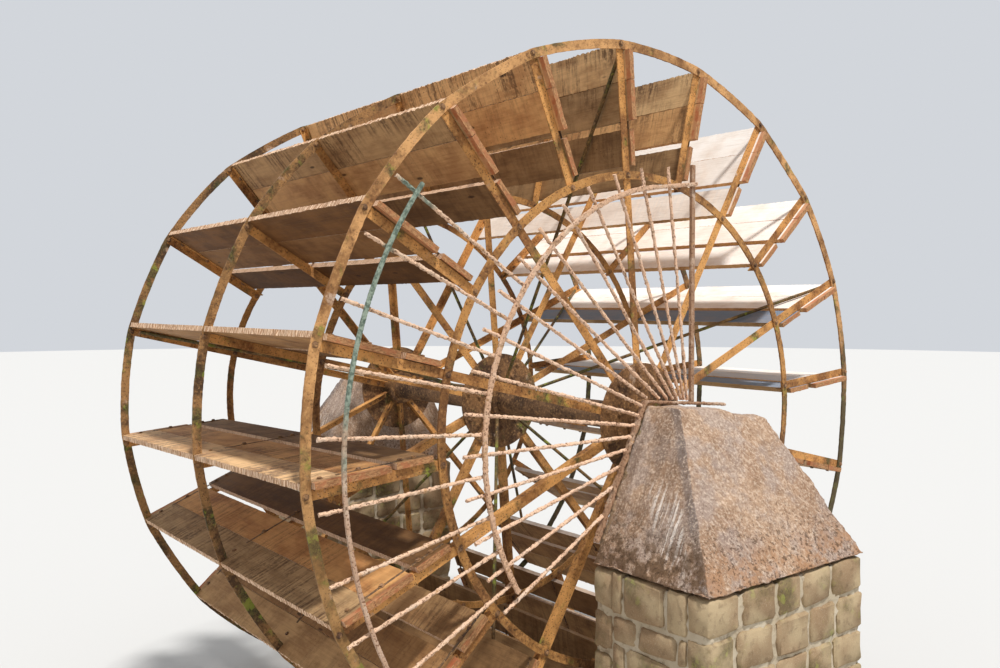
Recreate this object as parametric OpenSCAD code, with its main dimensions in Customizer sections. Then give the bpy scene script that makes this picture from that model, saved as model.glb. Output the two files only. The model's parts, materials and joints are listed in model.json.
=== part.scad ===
// Undershot water wheel with three iron frames, wooden paddles, two piers and a guard fan.
// Millimetres, +Z up. The axle lies along Y, and the near end is towards -Y.
// The origin is the middle of the ground plan, on the bed of the channel.

/* [Wheel] */
// Radius of the outer rims, to the middle of the bar
rim_r = 2100; // [1600:10:2600]
// Width of the rim bar, seen along the axle
rim_w = 50; // [30:1:80]
// Thickness of the rim and ring bars, along the axle
rim_t = 10; // [6:1:16]
// How much flatter than a true circle each length of rim is
rim_flat = 1.35; // [1.05:0.05:1.8]
// Radius of the inner rings, to the middle of the bar
ring_r = 1380; // [1000:10:1500]
// Width of the ring bar, seen along the axle
ring_w = 45; // [30:1:70]
// Distance from frame to frame along the axle
frame_gap = 1300; // [1000:10:1600]
// Lean of the top arm, against the clock
top_lean = 4.85; // [0:0.05:17]

/* [Arms] */
// Width of the angle iron's face, seen along the axle
arm_w = 50; // [30:1:70]
// Depth of the angle iron's other leg, along the axle
arm_leg = 45; // [30:1:70]
// Thickness of the angle iron
arm_t = 6; // [4:0.5:10]
// Radius of the stays' round bars
stay_r = 11; // [8:1:16]

/* [Paddles] */
// Number of paddles, an even number
paddles = 20; // [16:2:24]
// Thickness of the boards
board_t = 30; // [20:1:45]
// How far the outermost board's edge stands in from the rims' outer edge
edge_in = 5; // [2:1:45]
// Width of the outermost board
edge_board_w = 215; // [120:1:240]
// Width of the second board
outer_board_w = 223; // [120:1:240]
// Width of the inner board
inner_board_w = 207; // [120:1:220]
// Gap between the outer pair and the inner board
board_gap = 42; // [20:1:80]
// Depth of the gap between a rim bar and the notch that is cut for it
rim_clear = 7; // [7:1:20]
// Gap on each side of a rim bar in its notch
notch_clear = 4; // [4:1:15]
// How far the outer boards stand out past the outer frames
outer_overhang = 38; // [30:1:110]
// How far the inner board stands out past the outer frames
inner_overhang = 12; // [0:1:110]
// Number of the paddle whose far end has slipped down
slipped = 16; // [1:1:16]
// How far its far end has slipped
slip = 78; // [0:1:90]

/* [Axle] */
// Radius of the axle
axle_r = 80; // [60:1:110]
// Radius of the journals at its ends
journal_r = 45; // [30:1:55]
// Length of each journal in its pier
journal_depth = 170; // [100:1:200]
// Height of the axle above the bed of the channel
axle_h = 2250; // [1900:10:2900]
// Radius of the hubs' round plates
hub_plate_r = 320; // [260:1:380]
// Thickness of the hubs' round plates
hub_plate_t = 12; // [8:1:20]
// Radius of the hubs' bosses
hub_boss_r = 118; // [115:1:125]
// Length of the hubs' bosses
hub_boss_l = 150; // [100:1:200]

/* [Piers] */
// Distance from the outer frames to the piers
pier_gap = 229; // [180:1:320]
// Height of the pier's top above the axle, at its left edge
pier_rise = 120; // [110:1:150]
// Fall of the pier's top towards the right
top_fall = 5; // [0:0.5:8]
// Place along the top where it is worn away, right of the axle
worn_x = 160; // [100:1:300]
// Depth of the wear
worn_drop = 24; // [0:1:60]
// Length over which the wear falls to its full depth
worn_run = 60; // [20:1:120]
// Left edge of the pier's top, from the axle
pier_left = 205; // [150:1:260]
// Right edge of the pier's top, from the axle
pier_right = 432; // [350:1:600]
// Thickness of the pier's top
pier_top_t = 242; // [230:1:320]
// Slope of the left side, across for each millimetre down
left_slope = 0.507; // [0.3:0.001:0.6]
// Slope of the right side, across for each millimetre down
right_slope = 0.32; // [0.1:0.01:0.6]
// Slope of the street side, across for each millimetre down
front_slope = 0.66; // [0.4:0.01:0.8]
// Height of the tapered part of the pier
taper_h = 800; // [600:10:1000]
// Radius of the bearing's flange
flange_r = 72; // [70:1:85]
// Thickness of the bearing's flange
flange_t = 18; // [10:1:30]
// Radius of the bearing's bush
bush_r = 62; // [58:1:66]

/* [Guard] */
// Radius of the guard's round bars
bar_r = 11; // [9:0.5:11.5]
// Sideways place of the arcs' centre, from the axle
arc_x = 13; // [-50:1:50]
// Height of the arcs' centre, from the axle
arc_z = -25; // [-60:1:20]
// Radius of the guard's middle arc
middle_arc_r = 1317; // [1100:1:1450]
// Angle at which the middle arc turns into a straight bar, against the clock from upright
arc_bend = 7.5; // [0:0.1:12]
// Height of the middle arc's end at the post, from the axle
arc_end_z = 1325; // [1250:1:1350]
// Radius of the guard's outer arc
outer_arc_r = 2050; // [1800:1:2200]
// How far the short bars stand out past the middle arc
short_tip = 114; // [50:1:160]
// How far the long bars stand out past the outer arc
long_tip = 120; // [50:1:180]
// Sideways place of the point that the bars aim at, from the axle
aim_x = 158; // [80:1:165]
// Height of the point that the bars aim at, from the axle
aim_z = -48; // [-100:1:0]
// Angle from one short bar to the next
bar_step = 7.43; // [6:0.01:10]
// Angle of the first short bar, against the clock from upright
first_bar = 8.6; // [6:0.1:10]
// Number of short bars
short_bars = 16; // [10:1:18]
// Number of long bars, at the lower end of the fan
long_bars = 9; // [4:1:10]
// How far the outer arc runs on above its first long bar, in steps between bars
upper_past = 0.4; // [0.1:0.05:0.6]
// How far both arcs run on below their last bars, in steps between bars
lower_past = 0.3; // [0.1:0.05:0.5]
// Width of the middle arc's bar, seen along the axle
arc_w = 26; // [16:1:40]
// Width of the middle arc's straight end, seen along the axle
straight_w = 20; // [14:1:24]
// Width of the outer arc's bar, seen along the axle
outer_arc_w = 20; // [14:1:40]
// Depth of the arcs' bar, along the axle
arc_t = 18; // [8:1:25]
// Width of the rail's flat bar, along the axle
rail_w = 40; // [25:1:60]
// Thickness of the rail's flat bar
rail_t = 14; // [8:1:18]
// Gap between the rail and the pier
rail_off = 4; // [3:1:25]
// Reach of the rail's upper run, right of the axle
rail_right = 470; // [300:1:520]
// How far above the foot of the tapered masonry the rail's left run ends
rail_stop = 90; // [40:5:200]
// Radius of the rail's lugs
lug_r = 8; // [5:1:9]
// Width of the upright post
post_w = 30; // [20:1:45]
// How far right of the bars' meeting point the post stands
post_off = 12; // [10:1:80]
// How far the post's top stands above the bars' tips
post_over = 34; // [0:1:80]

/* [Hidden] */
$fn = 96;

// Running clearance of the journals, and of pieces that lie side by side
run_clear = 0.05;
seat_clear = 0.2;
// How far a cutter reaches past what it cuts
cut_past = 1;
// By how much the rim's lengths overlap, and the middle arc's straight end overlaps its curve, as angles
lap = 0.05;
bend_lap = 1;
// Gap between the hub's boss and the arms, and how far inside the rim the stays start
arm_gap = 12;
stay_in = 30;
// A stay meets the boss at a slant, so its middle stands off by this share of its radius
stay_foot = 0.55;
// Room past the journals' ends, and how far short of its bearing the axle's thick part stops
end_room = 15;
axle_short = 40;

step = 360 / paddles;
// How much flatter each length of rim is than the others, clockwise from the top arm
kinks = [1, 1.3, 2.5, 1, 1, 1.2, 1, 1, 1.5, 1, 1, 1.2, 1, 1.4, 1, 1, 1.3, 1, 1.6, 1];
// How far each short bar and each long bar leans from its even place, as an angle
short_nudge = [-1, -0.1, 0.2, 0.5, 0.4, 0.5, 0.2, 0.1, 0, 0, -0.1, -0.3, -0.3, 0.1, 0, 0];
long_nudge = [0, 0, 0.4, 0, -0.3, -0.4, 0, 0, 0];
rim_in = rim_r - rim_w / 2;
rim_out = rim_r + rim_w / 2;
ring_in = ring_r - ring_w / 2;
ring_out = ring_r + ring_w / 2;
arm_in = hub_boss_r + arm_gap;
notch_floor = rim_in - rim_clear;
paddle_out = rim_out - edge_in;
paddle_seam = paddle_out - edge_board_w;
paddle_mid = paddle_seam - outer_board_w;
paddle_in = paddle_mid - board_gap - inner_board_w;
near_y = -frame_gap;
far_y = frame_gap;
pier_y = frame_gap + pier_gap;
pier_top = pier_rise;
taper_left = pier_left + left_slope * taper_h;
taper_right = pier_right + right_slope * taper_h;
taper_front = pier_top_t + front_slope * taper_h;
taper_bottom = pier_top - taper_h;
bore_depth = journal_depth + end_room;
axle_half = pier_y - flange_t - axle_short;
// The guard's rail stands half over the edge of the pier's flat face
guard_y = -pier_y;
long_reach = outer_arc_r + long_tip;
// The guard reaches further left than the wheel, so the axle stands right of the middle
wheel_x = (long_reach - arc_x - rim_out) / 2;

wood = "peru";
iron = "sienna";
masonry = "tan";
paint = "darkseagreen";

// Puts a piece that is drawn about the axle in its place
module at_axle() {
    translate([wheel_x, 0, axle_h]) children();
}

// Mirrors a near piece to the far end
module at_far_end() {
    mirror([0, 1, 0]) children();
}

// A flat outline in the plane of a frame, made t thick from y to y + t
module plate(y, t) {
    translate([0, y + t, 0]) rotate([90, 0, 0]) linear_extrude(t) children();
}

// Outline between two circles, of one length of rim from arm to arm
module rim_length(flat) {
    bow_r = rim_r * flat;
    chord = rim_r * sin(step / 2);
    bow_z = rim_r * cos(step / 2) - sqrt(bow_r * bow_r - chord * chord);
    reach = 2 * rim_r;
    half = step / 2 + lap;
    intersection() {
        translate([0, bow_z]) difference() {
            circle(bow_r + rim_w / 2, $fn = 360);
            circle(bow_r - rim_w / 2, $fn = 360);
        }
        polygon([[0, 0], [-reach * sin(half), reach * cos(half)], [reach * sin(half), reach * cos(half)]]);
    }
}

module rim(y) {
    plate(y, rim_t)
        for (k = [0 : paddles - 1])
            rotate(top_lean - step * (k + 0.5)) rim_length(rim_flat * kinks[k % len(kinks)]);
}

module ring(y) {
    plate(y, rim_t) difference() {
        circle(ring_out, $fn = 180);
        circle(ring_in, $fn = 180);
    }
}

// One arm of angle iron, upright, with its depth running along dir from y
module arm(y, dir, inner) {
    low = dir > 0 ? 0 : -arm_t;
    low_leg = dir > 0 ? 0 : -arm_leg;
    top = rim_in + rim_w / 2;
    union() {
        translate([-arm_w / 2, y + low, inner]) cube([arm_w, arm_t, top - inner]);
        translate([arm_w / 2 - arm_t, y + low_leg, inner]) cube([arm_t, arm_leg, top - inner]);
    }
}

// Sideways slip of arm k at a place y along the axle
function slip_at(k, y) = k == slipped - 1 ? slip * (y - near_y) / (2 * frame_gap) : 0;

module arms(y, dir) {
    leg_end = dir > 0 ? y + arm_leg : y;
    for (k = [0 : paddles - 1])
        rotate([0, step * k - top_lean, 0])
            translate([-slip_at(k, leg_end), 0, 0]) arm(y, dir, k % 2 == 0 ? arm_in : ring_in);
}

// Hub with its plate against the arms, on the side away from dir
module hub(y, dir) {
    rotate([90, 0, 0]) difference() {
        union() {
            translate([0, 0, dir > 0 ? -y : -y - hub_plate_t]) cylinder(r = hub_plate_r, h = hub_plate_t);
            translate([0, 0, -y - hub_boss_l / 2]) cylinder(r = hub_boss_r, h = hub_boss_l);
        }
        translate([0, 0, -y - hub_boss_l]) cylinder(r = axle_r, h = 2 * hub_boss_l);
    }
}

// Raking stays from every fourth arm's outer end, beside its leg, to the middle hub's boss
module stays() {
    start_r = rim_in - stay_in;
    start_y = near_y + arm_t + stay_r + cut_past;
    end_r = hub_boss_r + stay_foot * stay_r + seat_clear;
    end_y = -hub_boss_l / 2 + stay_r;
    len = norm([start_r - end_r, start_y - end_y]);
    tilt = atan2(end_y - start_y, start_r - end_r);
    side = arm_w / 2 - arm_t - stay_r - seat_clear;
    for (k = [0 : 4 : paddles - 1])
        rotate([0, step * k - top_lean, 0]) translate([side, end_y, end_r])
            rotate([tilt, 0, 0]) cylinder(r = stay_r, h = len, $fn = 24);
}

// Board of a paddle, from radius z outwards
module board(z, width, overhang) {
    half = frame_gap + rim_t + overhang;
    translate([arm_w / 2, -half, z]) cube([board_t, 2 * half, width]);
}

// Cutter for a board's outer edge, from one place along the axle to another
module notch(from, to) {
    translate([arm_w / 2 - cut_past, from, notch_floor])
        cube([board_t + 2 * cut_past, to - from, rim_w + rim_clear]);
}

// Outermost board, notched for the middle rim, with its corners cut away past the outer rims
module edge_board() {
    past = rim_t + outer_overhang + cut_past;
    difference() {
        board(paddle_seam, edge_board_w, outer_overhang);
        notch(-rim_t - notch_clear, notch_clear);
        notch(near_y - past, near_y + notch_clear);
        notch(far_y - notch_clear, far_y + past);
    }
}

module paddle(number) {
    skew = atan(slip_at(number - 1, far_y) / (2 * frame_gap));
    color(wood) at_axle() rotate([0, step * (number - 1) - top_lean, 0])
        translate([arm_w / 2, near_y, 0]) rotate([0, 0, skew]) translate([-arm_w / 2, -near_y, 0]) {
            edge_board();
            board(paddle_mid, outer_board_w - seat_clear, outer_overhang);
            board(paddle_in, inner_board_w, inner_overhang);
        }
}

module axle() {
    color(iron) at_axle() rotate([90, 0, 0]) union() {
        translate([0, 0, -axle_half]) cylinder(r = axle_r, h = 2 * axle_half);
        translate([0, 0, -pier_y - journal_depth]) cylinder(r = journal_r, h = 2 * (pier_y + journal_depth));
    }
}

// Height of the pier's falling top at a place x
function top_z(x) = pier_top - (x + pier_left) * tan(top_fall);

// Tapered masonry with its flat face towards the wheel, a falling top that is worn away by drop on the
// right, and a blind bore for the bearing
module pier_taper(drop) {
    hull_depth = pier_y + taper_front;
    over = taper_h / 10;
    difference() {
        polyhedron(
            points = [
                [-taper_left, -pier_y, taper_bottom], [taper_right, -pier_y, taper_bottom],
                [taper_right, -hull_depth, taper_bottom], [-taper_left, -hull_depth, taper_bottom],
                [-pier_left, -pier_y, pier_top], [pier_right, -pier_y, pier_top],
                [pier_right, -pier_y - pier_top_t, pier_top], [-pier_left, -pier_y - pier_top_t, pier_top]
            ],
            faces = [[0, 1, 2, 3], [4, 7, 6, 5], [0, 4, 5, 1], [1, 5, 6, 2], [2, 6, 7, 3], [3, 7, 4, 0]]
        );
        plate(-hull_depth, taper_front + over) polygon([
            [-pier_left - over, top_z(-pier_left - over)], [worn_x, top_z(worn_x)],
            [worn_x + worn_run, top_z(worn_x + worn_run) - drop], [taper_right, top_z(taper_right) - drop],
            [taper_right, pier_top + over], [-pier_left - over, pier_top + over]
        ]);
        translate([0, -pier_y + cut_past, 0])
            rotate([90, 0, 0]) cylinder(r = bush_r, h = bore_depth + cut_past);
    }
}

module pier_base() {
    translate([-taper_left, -pier_y - taper_front, -axle_h])
        cube([taper_left + taper_right, taper_front, axle_h + taper_bottom]);
}

module bearing() {
    rotate([90, 0, 0]) difference() {
        union() {
            translate([0, 0, pier_y - flange_t]) cylinder(r = flange_r, h = flange_t);
            translate([0, 0, pier_y - cut_past]) cylinder(r = bush_r, h = bore_depth);
        }
        translate([0, 0, pier_y - flange_t - cut_past])
            cylinder(r = journal_r + run_clear, h = flange_t + bore_depth + 2 * cut_past);
    }
}

// Direction of a bar that leans by angle a against the clock
function along(a) = [-sin(a), cos(a)];
aim = [aim_x, aim_z];
arc_centre = [arc_x, arc_z];

// Distance from the bars' meeting point to a circle about the arcs' centre, along angle a
function to_circle(r, a) =
    let (w = aim - arc_centre, b = w * along(a))
    -b + sqrt(b * b - w * w + r * r);

// Outward directions of the pier's left side and top, and the runs down and along them
left_run = atan(left_slope);
left_n = [-cos(left_run), sin(left_run)];
left_down = [-sin(left_run), -cos(left_run)];
top_n = [sin(top_fall), cos(top_fall)];
top_right = [cos(top_fall), -sin(top_fall)];
pier_corner = [-pier_left, pier_top];

// Corner of a line that runs round the pier's left side and top, off from it
function corner_off(off) = pier_corner + off * (left_n + top_n) / (1 + left_n * top_n);
rail_out = rail_off + rail_t;
rail_corner = corner_off(rail_out);

// Distance from the bars' meeting point to the rail's outer side, along angle a, and the bar's lean on it
function to_side(a, n) = ((rail_corner - aim) * n) / max(along(a) * n, 0.01);
function to_rail(a) = min(to_side(a, top_n), to_side(a, left_n));
function lean(a) =
    to_side(a, top_n) < to_side(a, left_n) ? abs(tan(a + top_fall)) : abs(tan(90 - left_run - a));

module fan_bar(a, from, to) {
    translate([aim_x, guard_y, aim_z]) rotate([0, -a, 0]) translate([0, 0, from])
        cylinder(r = bar_r, h = to - from, $fn = 24);
}

module guard_short_bars() {
    color(paint) at_axle() for (i = [0 : short_bars - 1]) {
        a = first_bar + bar_step * i + short_nudge[i % len(short_nudge)];
        fan_bar(a, to_rail(a) + bar_r * lean(a) + seat_clear, to_circle(middle_arc_r + short_tip, a));
    }
}

// The long bars stand between the last short bars
module guard_long_bars() {
    color(paint) at_axle() for (i = [0 : long_bars - 1]) {
        a = first_bar + bar_step * (short_bars - 1.5 - i) + long_nudge[i % len(long_nudge)];
        fan_bar(a, to_circle(middle_arc_r - arc_w / 2, a), to_circle(long_reach, a));
    }
}

first_angle = first_bar + bar_step * (short_bars - long_bars - 0.5 - upper_past);
last_angle = first_bar + bar_step * (short_bars - 1 + lower_past);
post_x = aim_x + post_off;

// A flat outline made into a bar on the street side of the fan's bars
module guard_plate() {
    plate(guard_y - bar_r - seat_clear - arc_t, arc_t) children();
}

// Outline of a bar bent to an arc, from one angle to another against the clock
module arc_outline(r, width, from, to) {
    reach = 2 * r;
    middle = (from + to) / 2;
    translate(arc_centre) intersection() {
        difference() {
            circle(r + width / 2, $fn = 180);
            circle(r - width / 2, $fn = 180);
        }
        polygon([[0, 0], reach * along(from), 1.5 * reach * along(middle), reach * along(to)]);
    }
}

// Outline of a straight bar from one point to another
module bar_outline(width, from, to) {
    run = (to - from) / norm(to - from);
    side = width / 2 * [-run[1], run[0]];
    polygon([from + side, to + side, to - side, from - side]);
}

// The middle arc runs out into a straight bar towards the post
module guard_middle_arc() {
    bend = arc_centre + middle_arc_r * along(arc_bend + bend_lap);
    color(paint) at_axle() guard_plate() union() {
        arc_outline(middle_arc_r, arc_w, arc_bend, last_angle);
        bar_outline(straight_w, bend, [post_x + post_w / 2, arc_end_z]);
    }
}

module guard_outer_arc() {
    color(paint) at_axle() guard_plate() arc_outline(outer_arc_r, outer_arc_w, first_angle, last_angle);
}

module guard_post() {
    left = post_x - post_w / 2;
    top = arc_z + sqrt(pow(middle_arc_r + short_tip, 2) - pow(post_x - arc_x, 2)) + post_over;
    foot = rail_corner[1] - (left - rail_corner[0]) * tan(top_fall) + seat_clear;
    color(paint) at_axle() translate([left, guard_y - bar_r, foot]) cube([post_w, 2 * bar_r, top - foot]);
}

// Lug of the rail, standing on the masonry
module rail_lug(foot, tilt) {
    translate([foot[0], guard_y - rail_w / 4, foot[1]])
        rotate([0, tilt, 0]) cylinder(r = lug_r, h = rail_off + rail_t / 2 - seat_clear, $fn = 24);
}

// Rail bent round the pier's top and left edge
module guard_rail() {
    run = (taper_h - rail_stop) / cos(left_run);
    top_run = (rail_right + pier_left) / cos(top_fall);
    in_corner = corner_off(rail_off);
    low = rail_corner + left_down * run;
    end = rail_corner + top_right * top_run;
    color(masonry) at_axle() union() {
        plate(guard_y - rail_w / 2, rail_w)
            polygon([end, rail_corner, low, low - left_n * rail_t, in_corner, end - top_n * rail_t]);
        for (d = [pier_left / 2, 3 * pier_left / 2])
            rail_lug(pier_corner + top_right * d + top_n * seat_clear, top_fall);
        for (d = [run / 12, run / 2, 11 * run / 12])
            rail_lug(pier_corner + left_down * d + left_n * seat_clear, left_run - 90);
    }
}

module near_pier() { color(masonry) at_axle() pier_taper(worn_drop); }
module far_pier() { color(masonry) at_axle() at_far_end() pier_taper(0); }
module near_pier_base() { color(masonry) at_axle() pier_base(); }
module far_pier_base() { color(masonry) at_axle() at_far_end() pier_base(); }
module near_bearing() { color(iron) at_axle() bearing(); }
module far_bearing() { color(iron) at_axle() at_far_end() bearing(); }
module near_hub() { color(iron) at_axle() hub(near_y, 1); }
module mid_hub() { color(iron) at_axle() hub(0, 1); }
module far_hub() { color(iron) at_axle() hub(far_y, -1); }
module near_arms() { color(iron) at_axle() arms(near_y, 1); }
module mid_arms() { color(iron) at_axle() arms(0, 1); }
module far_arms() { color(iron) at_axle() arms(far_y, -1); }
module near_ring() { color(iron) at_axle() ring(near_y - rim_t); }
module mid_ring() { color(iron) at_axle() ring(-rim_t); }
module far_ring() { color(iron) at_axle() ring(far_y); }
module near_rim() { color(iron) at_axle() rim(near_y - rim_t); }
module mid_rim() { color(iron) at_axle() rim(-rim_t); }
module far_rim() { color(iron) at_axle() rim(far_y); }
module near_stays() { color(iron) at_axle() stays(); }
module far_stays() { color(iron) at_axle() at_far_end() stays(); }

near_pier();
near_pier_base();
near_bearing();
far_pier();
far_pier_base();
far_bearing();
guard_rail();
guard_middle_arc();
guard_outer_arc();
guard_short_bars();
guard_long_bars();
guard_post();
axle();
near_hub();
mid_hub();
far_hub();
near_arms();
mid_arms();
far_arms();
near_ring();
mid_ring();
far_ring();
near_rim();
mid_rim();
far_rim();
near_stays();
far_stays();
paddle(1);  // paddle_01
paddle(2);  // paddle_02
paddle(3);  // paddle_03
paddle(4);  // paddle_04
paddle(5);  // paddle_05
paddle(6);  // paddle_06
paddle(7);  // paddle_07
paddle(8);  // paddle_08
paddle(9);  // paddle_09
paddle(10);  // paddle_10
paddle(11);  // paddle_11
paddle(12);  // paddle_12
paddle(13);  // paddle_13
paddle(14);  // paddle_14
paddle(15);  // paddle_15
paddle(16);  // paddle_16
paddle(17);  // paddle_17
paddle(18);  // paddle_18
paddle(19);  // paddle_19
paddle(20);  // paddle_20
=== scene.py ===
import json
import math
import random

import bpy
import numpy as np
from mathutils import Matrix, Vector


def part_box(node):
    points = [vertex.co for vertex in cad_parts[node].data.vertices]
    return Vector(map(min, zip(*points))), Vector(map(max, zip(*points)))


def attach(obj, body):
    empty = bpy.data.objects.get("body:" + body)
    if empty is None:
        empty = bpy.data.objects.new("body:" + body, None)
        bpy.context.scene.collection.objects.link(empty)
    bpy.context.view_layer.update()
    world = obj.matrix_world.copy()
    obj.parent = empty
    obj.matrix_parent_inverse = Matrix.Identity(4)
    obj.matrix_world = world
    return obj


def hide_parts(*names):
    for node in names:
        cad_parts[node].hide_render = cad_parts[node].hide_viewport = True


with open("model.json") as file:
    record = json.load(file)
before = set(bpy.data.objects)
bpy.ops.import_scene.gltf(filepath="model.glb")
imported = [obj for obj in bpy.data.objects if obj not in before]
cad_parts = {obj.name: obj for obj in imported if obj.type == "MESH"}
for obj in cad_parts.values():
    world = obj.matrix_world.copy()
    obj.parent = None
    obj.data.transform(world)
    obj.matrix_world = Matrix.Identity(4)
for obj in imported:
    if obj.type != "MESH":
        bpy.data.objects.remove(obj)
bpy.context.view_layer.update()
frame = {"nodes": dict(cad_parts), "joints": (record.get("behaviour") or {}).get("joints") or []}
nodes = frame["nodes"]


def rounded(values):
    return [round(value, 3) for value in values]


# %% [markdown]
# All places come from a few facts. The joint says where the axle is, and the boxes of the frame's own
# pieces say where each iron frame stands. A paddle and its arm are easiest to think of as upright, so
# one matrix carries that upright picture round the axle to the arm's real place.
# %% Where the wheel stands
PADDLES = 20
STEP = math.radians(360 / PADDLES)
TOP_LEAN = math.radians(4.85)
# An arm is an angle iron: its flat side, its leg along the axle, and the thickness of both
ARM_W = 0.05
ARM_LEG = 0.045
ARM_T = 0.006
hub_point = Vector(frame["joints"][0]["pos_m"])
near_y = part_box("near_rim")[1].y
# For each iron frame: the face that its rim lies on, and which way its arms' legs point
FRAMES = {"near": (near_y, 1), "mid": (0.0, 1), "far": (-near_y, -1)}
SLIPPED_PADDLE = 16
# How far the slipped paddle's far end stands back, for each metre along the axle
SLIP_SLOPE = 0.078 / (-2 * near_y)


def turned(degrees, axis):
    return Matrix.Rotation(math.radians(degrees), 4, axis)


def arm_angle(number):
    return STEP * (number - 1) - TOP_LEAN


def arm_place(number):
    """Carries an upright arm, with +X clockwise and +Z outwards, to the place of that arm."""
    return Matrix.Translation(hub_point) @ Matrix.Rotation(arm_angle(number), 4, "Y")


def slip_skew(number):
    """The slant of the one paddle whose far end has slipped down, in the upright picture."""
    if number != SLIPPED_PADDLE:
        return Matrix.Identity(4)
    hinge = Matrix.Translation((ARM_W / 2, near_y, 0))
    return hinge @ Matrix.Rotation(math.atan(SLIP_SLOPE), 4, "Z") @ hinge.inverted()


print("the axle's centre:", rounded(hub_point), "frames at", FRAMES)

# %% [markdown]
# Operators act on whatever is selected, so a few small helpers keep the selection clean. To change
# only some parts of a mesh, such as the edges that run one way, each part is tested and then selected
# in code, as a hand would pick it.
# %% Helpers for selecting and editing
def select_only(*pieces):
    """Selects these objects alone, the first of them active."""
    bpy.ops.object.select_all(action="DESELECT")
    for piece in pieces:
        piece.select_set(True)
    bpy.context.view_layer.objects.active = pieces[0]


def edit(piece, everything=True):
    """Enters edit mode on one piece, with all or none of it selected."""
    select_only(piece)
    bpy.ops.object.mode_set(mode="EDIT")
    bpy.ops.mesh.select_all(action="SELECT" if everything else "DESELECT")


def finish_edit():
    bpy.ops.object.mode_set(mode="OBJECT")


def pick(piece, kind, test):
    """Enters edit mode with only those vertices, edges or faces selected that pass a test."""
    edit(piece, False)
    bpy.ops.mesh.select_mode(type=kind)
    finish_edit()
    mesh = piece.data
    for part in {"VERT": mesh.vertices, "EDGE": mesh.edges, "FACE": mesh.polygons}[kind]:
        part.select = bool(test(part))
    bpy.ops.object.mode_set(mode="EDIT")


print("helpers for selecting and editing ready")

# %% Helpers for naming, copying and joining
def new_piece(name):
    """Names the primitive that was just added, and puts its place into its mesh."""
    piece = bpy.context.object
    piece.name = name
    piece.data.name = name
    select_only(piece)
    bpy.ops.object.transform_apply(location=True, rotation=True, scale=True)
    return piece


def copy_of(piece, name):
    """A copy with its own mesh."""
    twin = piece.copy()
    twin.data = piece.data.copy()
    twin.name = name
    bpy.context.scene.collection.objects.link(twin)
    return twin


def joined(pieces, name):
    """Several pieces as one mesh."""
    select_only(*pieces)
    bpy.ops.object.join()
    pieces[0].name = name
    pieces[0].data.name = name
    return pieces[0]


def remove(*pieces):
    for piece in pieces:
        bpy.data.objects.remove(piece)


def faces_of(*pieces):
    return sum(len(piece.data.polygons) for piece in pieces)


print("helpers for naming, copying and joining ready")

# %% [markdown]
# Uneven surfaces come from the Displace modifier with a cloud texture, because rust, lime and old wood
# are all uneven at more than one size. Each helper applies its modifier, so the shape is real mesh. An
# empty that wanders about says which part of the clouds a board or a stone gets, so no two are alike.
# %% Helpers for surfaces
def apply_modifier(piece, modifier):
    select_only(piece)
    bpy.ops.object.modifier_apply(modifier=modifier.name)


def cloud(name, size, depth=2, contrast=1.0):
    """A cloud texture whose lumps are about size metres across."""
    texture = bpy.data.textures.new(name, "CLOUDS")
    texture.noise_scale = size
    texture.noise_depth = depth
    texture.contrast = contrast
    return texture


def roughen(piece, texture, strength, level=0.5, direction="NORMAL", group="", place=None):
    """Moves the surface by strength times what the texture is above the level, outwards if positive."""
    modifier = piece.modifiers.new("roughen", "DISPLACE")
    modifier.texture = texture
    modifier.strength = strength
    modifier.mid_level = level
    modifier.direction = direction
    modifier.vertex_group = group
    if place is not None:
        modifier.texture_coords = "OBJECT"
        modifier.texture_coords_object = place
    apply_modifier(piece, modifier)


def smooth_by_angle(piece, degrees):
    select_only(piece)
    bpy.ops.object.shade_smooth_by_angle(angle=math.radians(degrees))
    return piece


fine_lumps = cloud("fine_lumps", 0.012, 2, 1.4)
small_lumps = cloud("small_lumps", 0.03, 3, 1.3)
broad_lumps = cloud("broad_lumps", 0.16, 2, 1.2)
wander = bpy.data.objects.new("wander", None)
bpy.context.scene.collection.objects.link(wander)


def wander_to(*place):
    wander.location = place
    bpy.context.view_layer.update()


print("helpers for surfaces ready")

# %% [markdown]
# Boards. Each paddle is two outer boards edge to edge and, after a gap, one inner board. Sawn softwood
# in the weather loses its sharp edges: the outer edge is frayed, the ends are nibbled and the faces
# cup a little. A grid is extruded to a slab, once plain and once with the notches for the rims, and
# each board is a copy of one of them, scaled to its real size and worn by its own part of the clouds.
# The grain has to follow each board, so each board keeps its own flat coordinates in an attribute,
# and a second attribute holds its tone.
# %% Read the boards' sizes from the frame
# Two heights less than this apart are the same
SAME = 0.0001


def board_sizes():
    """Each board's inner radius, width, half length, near side and thickness, then the notches."""
    upright = arm_place(1).inverted()
    points = np.array([upright @ v.co for v in nodes["paddle_01"].data.vertices])
    levels = []
    for height in sorted(points[:, 2]):
        if not levels or height - levels[-1] > SAME:
            levels.append(height)
    sizes = []
    for low, high in ((levels[0], levels[1]), (levels[2], levels[3]), (levels[4], levels[-1])):
        own = points[(points[:, 2] > low - SAME / 2) & (points[:, 2] < high + SAME / 2)]
        thick = own[:, 0].max() - own[:, 0].min()
        sizes.append((low, high - low, own[:, 1].max(), own[:, 0].min(), thick))
    top_row = points[points[:, 2] > levels[-1] - SAME][:, 1]
    return sizes, levels[5], sorted({round(float(y), 4) for y in top_row})


BOARDS, NOTCH_FLOOR, NOTCH_ROW = board_sizes()
for board in BOARDS:
    print("a board from radius %.3f, %.3f wide, %.3f half length, side %.3f, %.3f thick" % board)
print("the notches reach down to radius %.3f, with their sides at" % NOTCH_FLOOR, NOTCH_ROW)

# %% Notches and sides of a board
# The points of one row of a grid lie closer together than this
ROW_SPREAD = 0.00002


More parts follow.
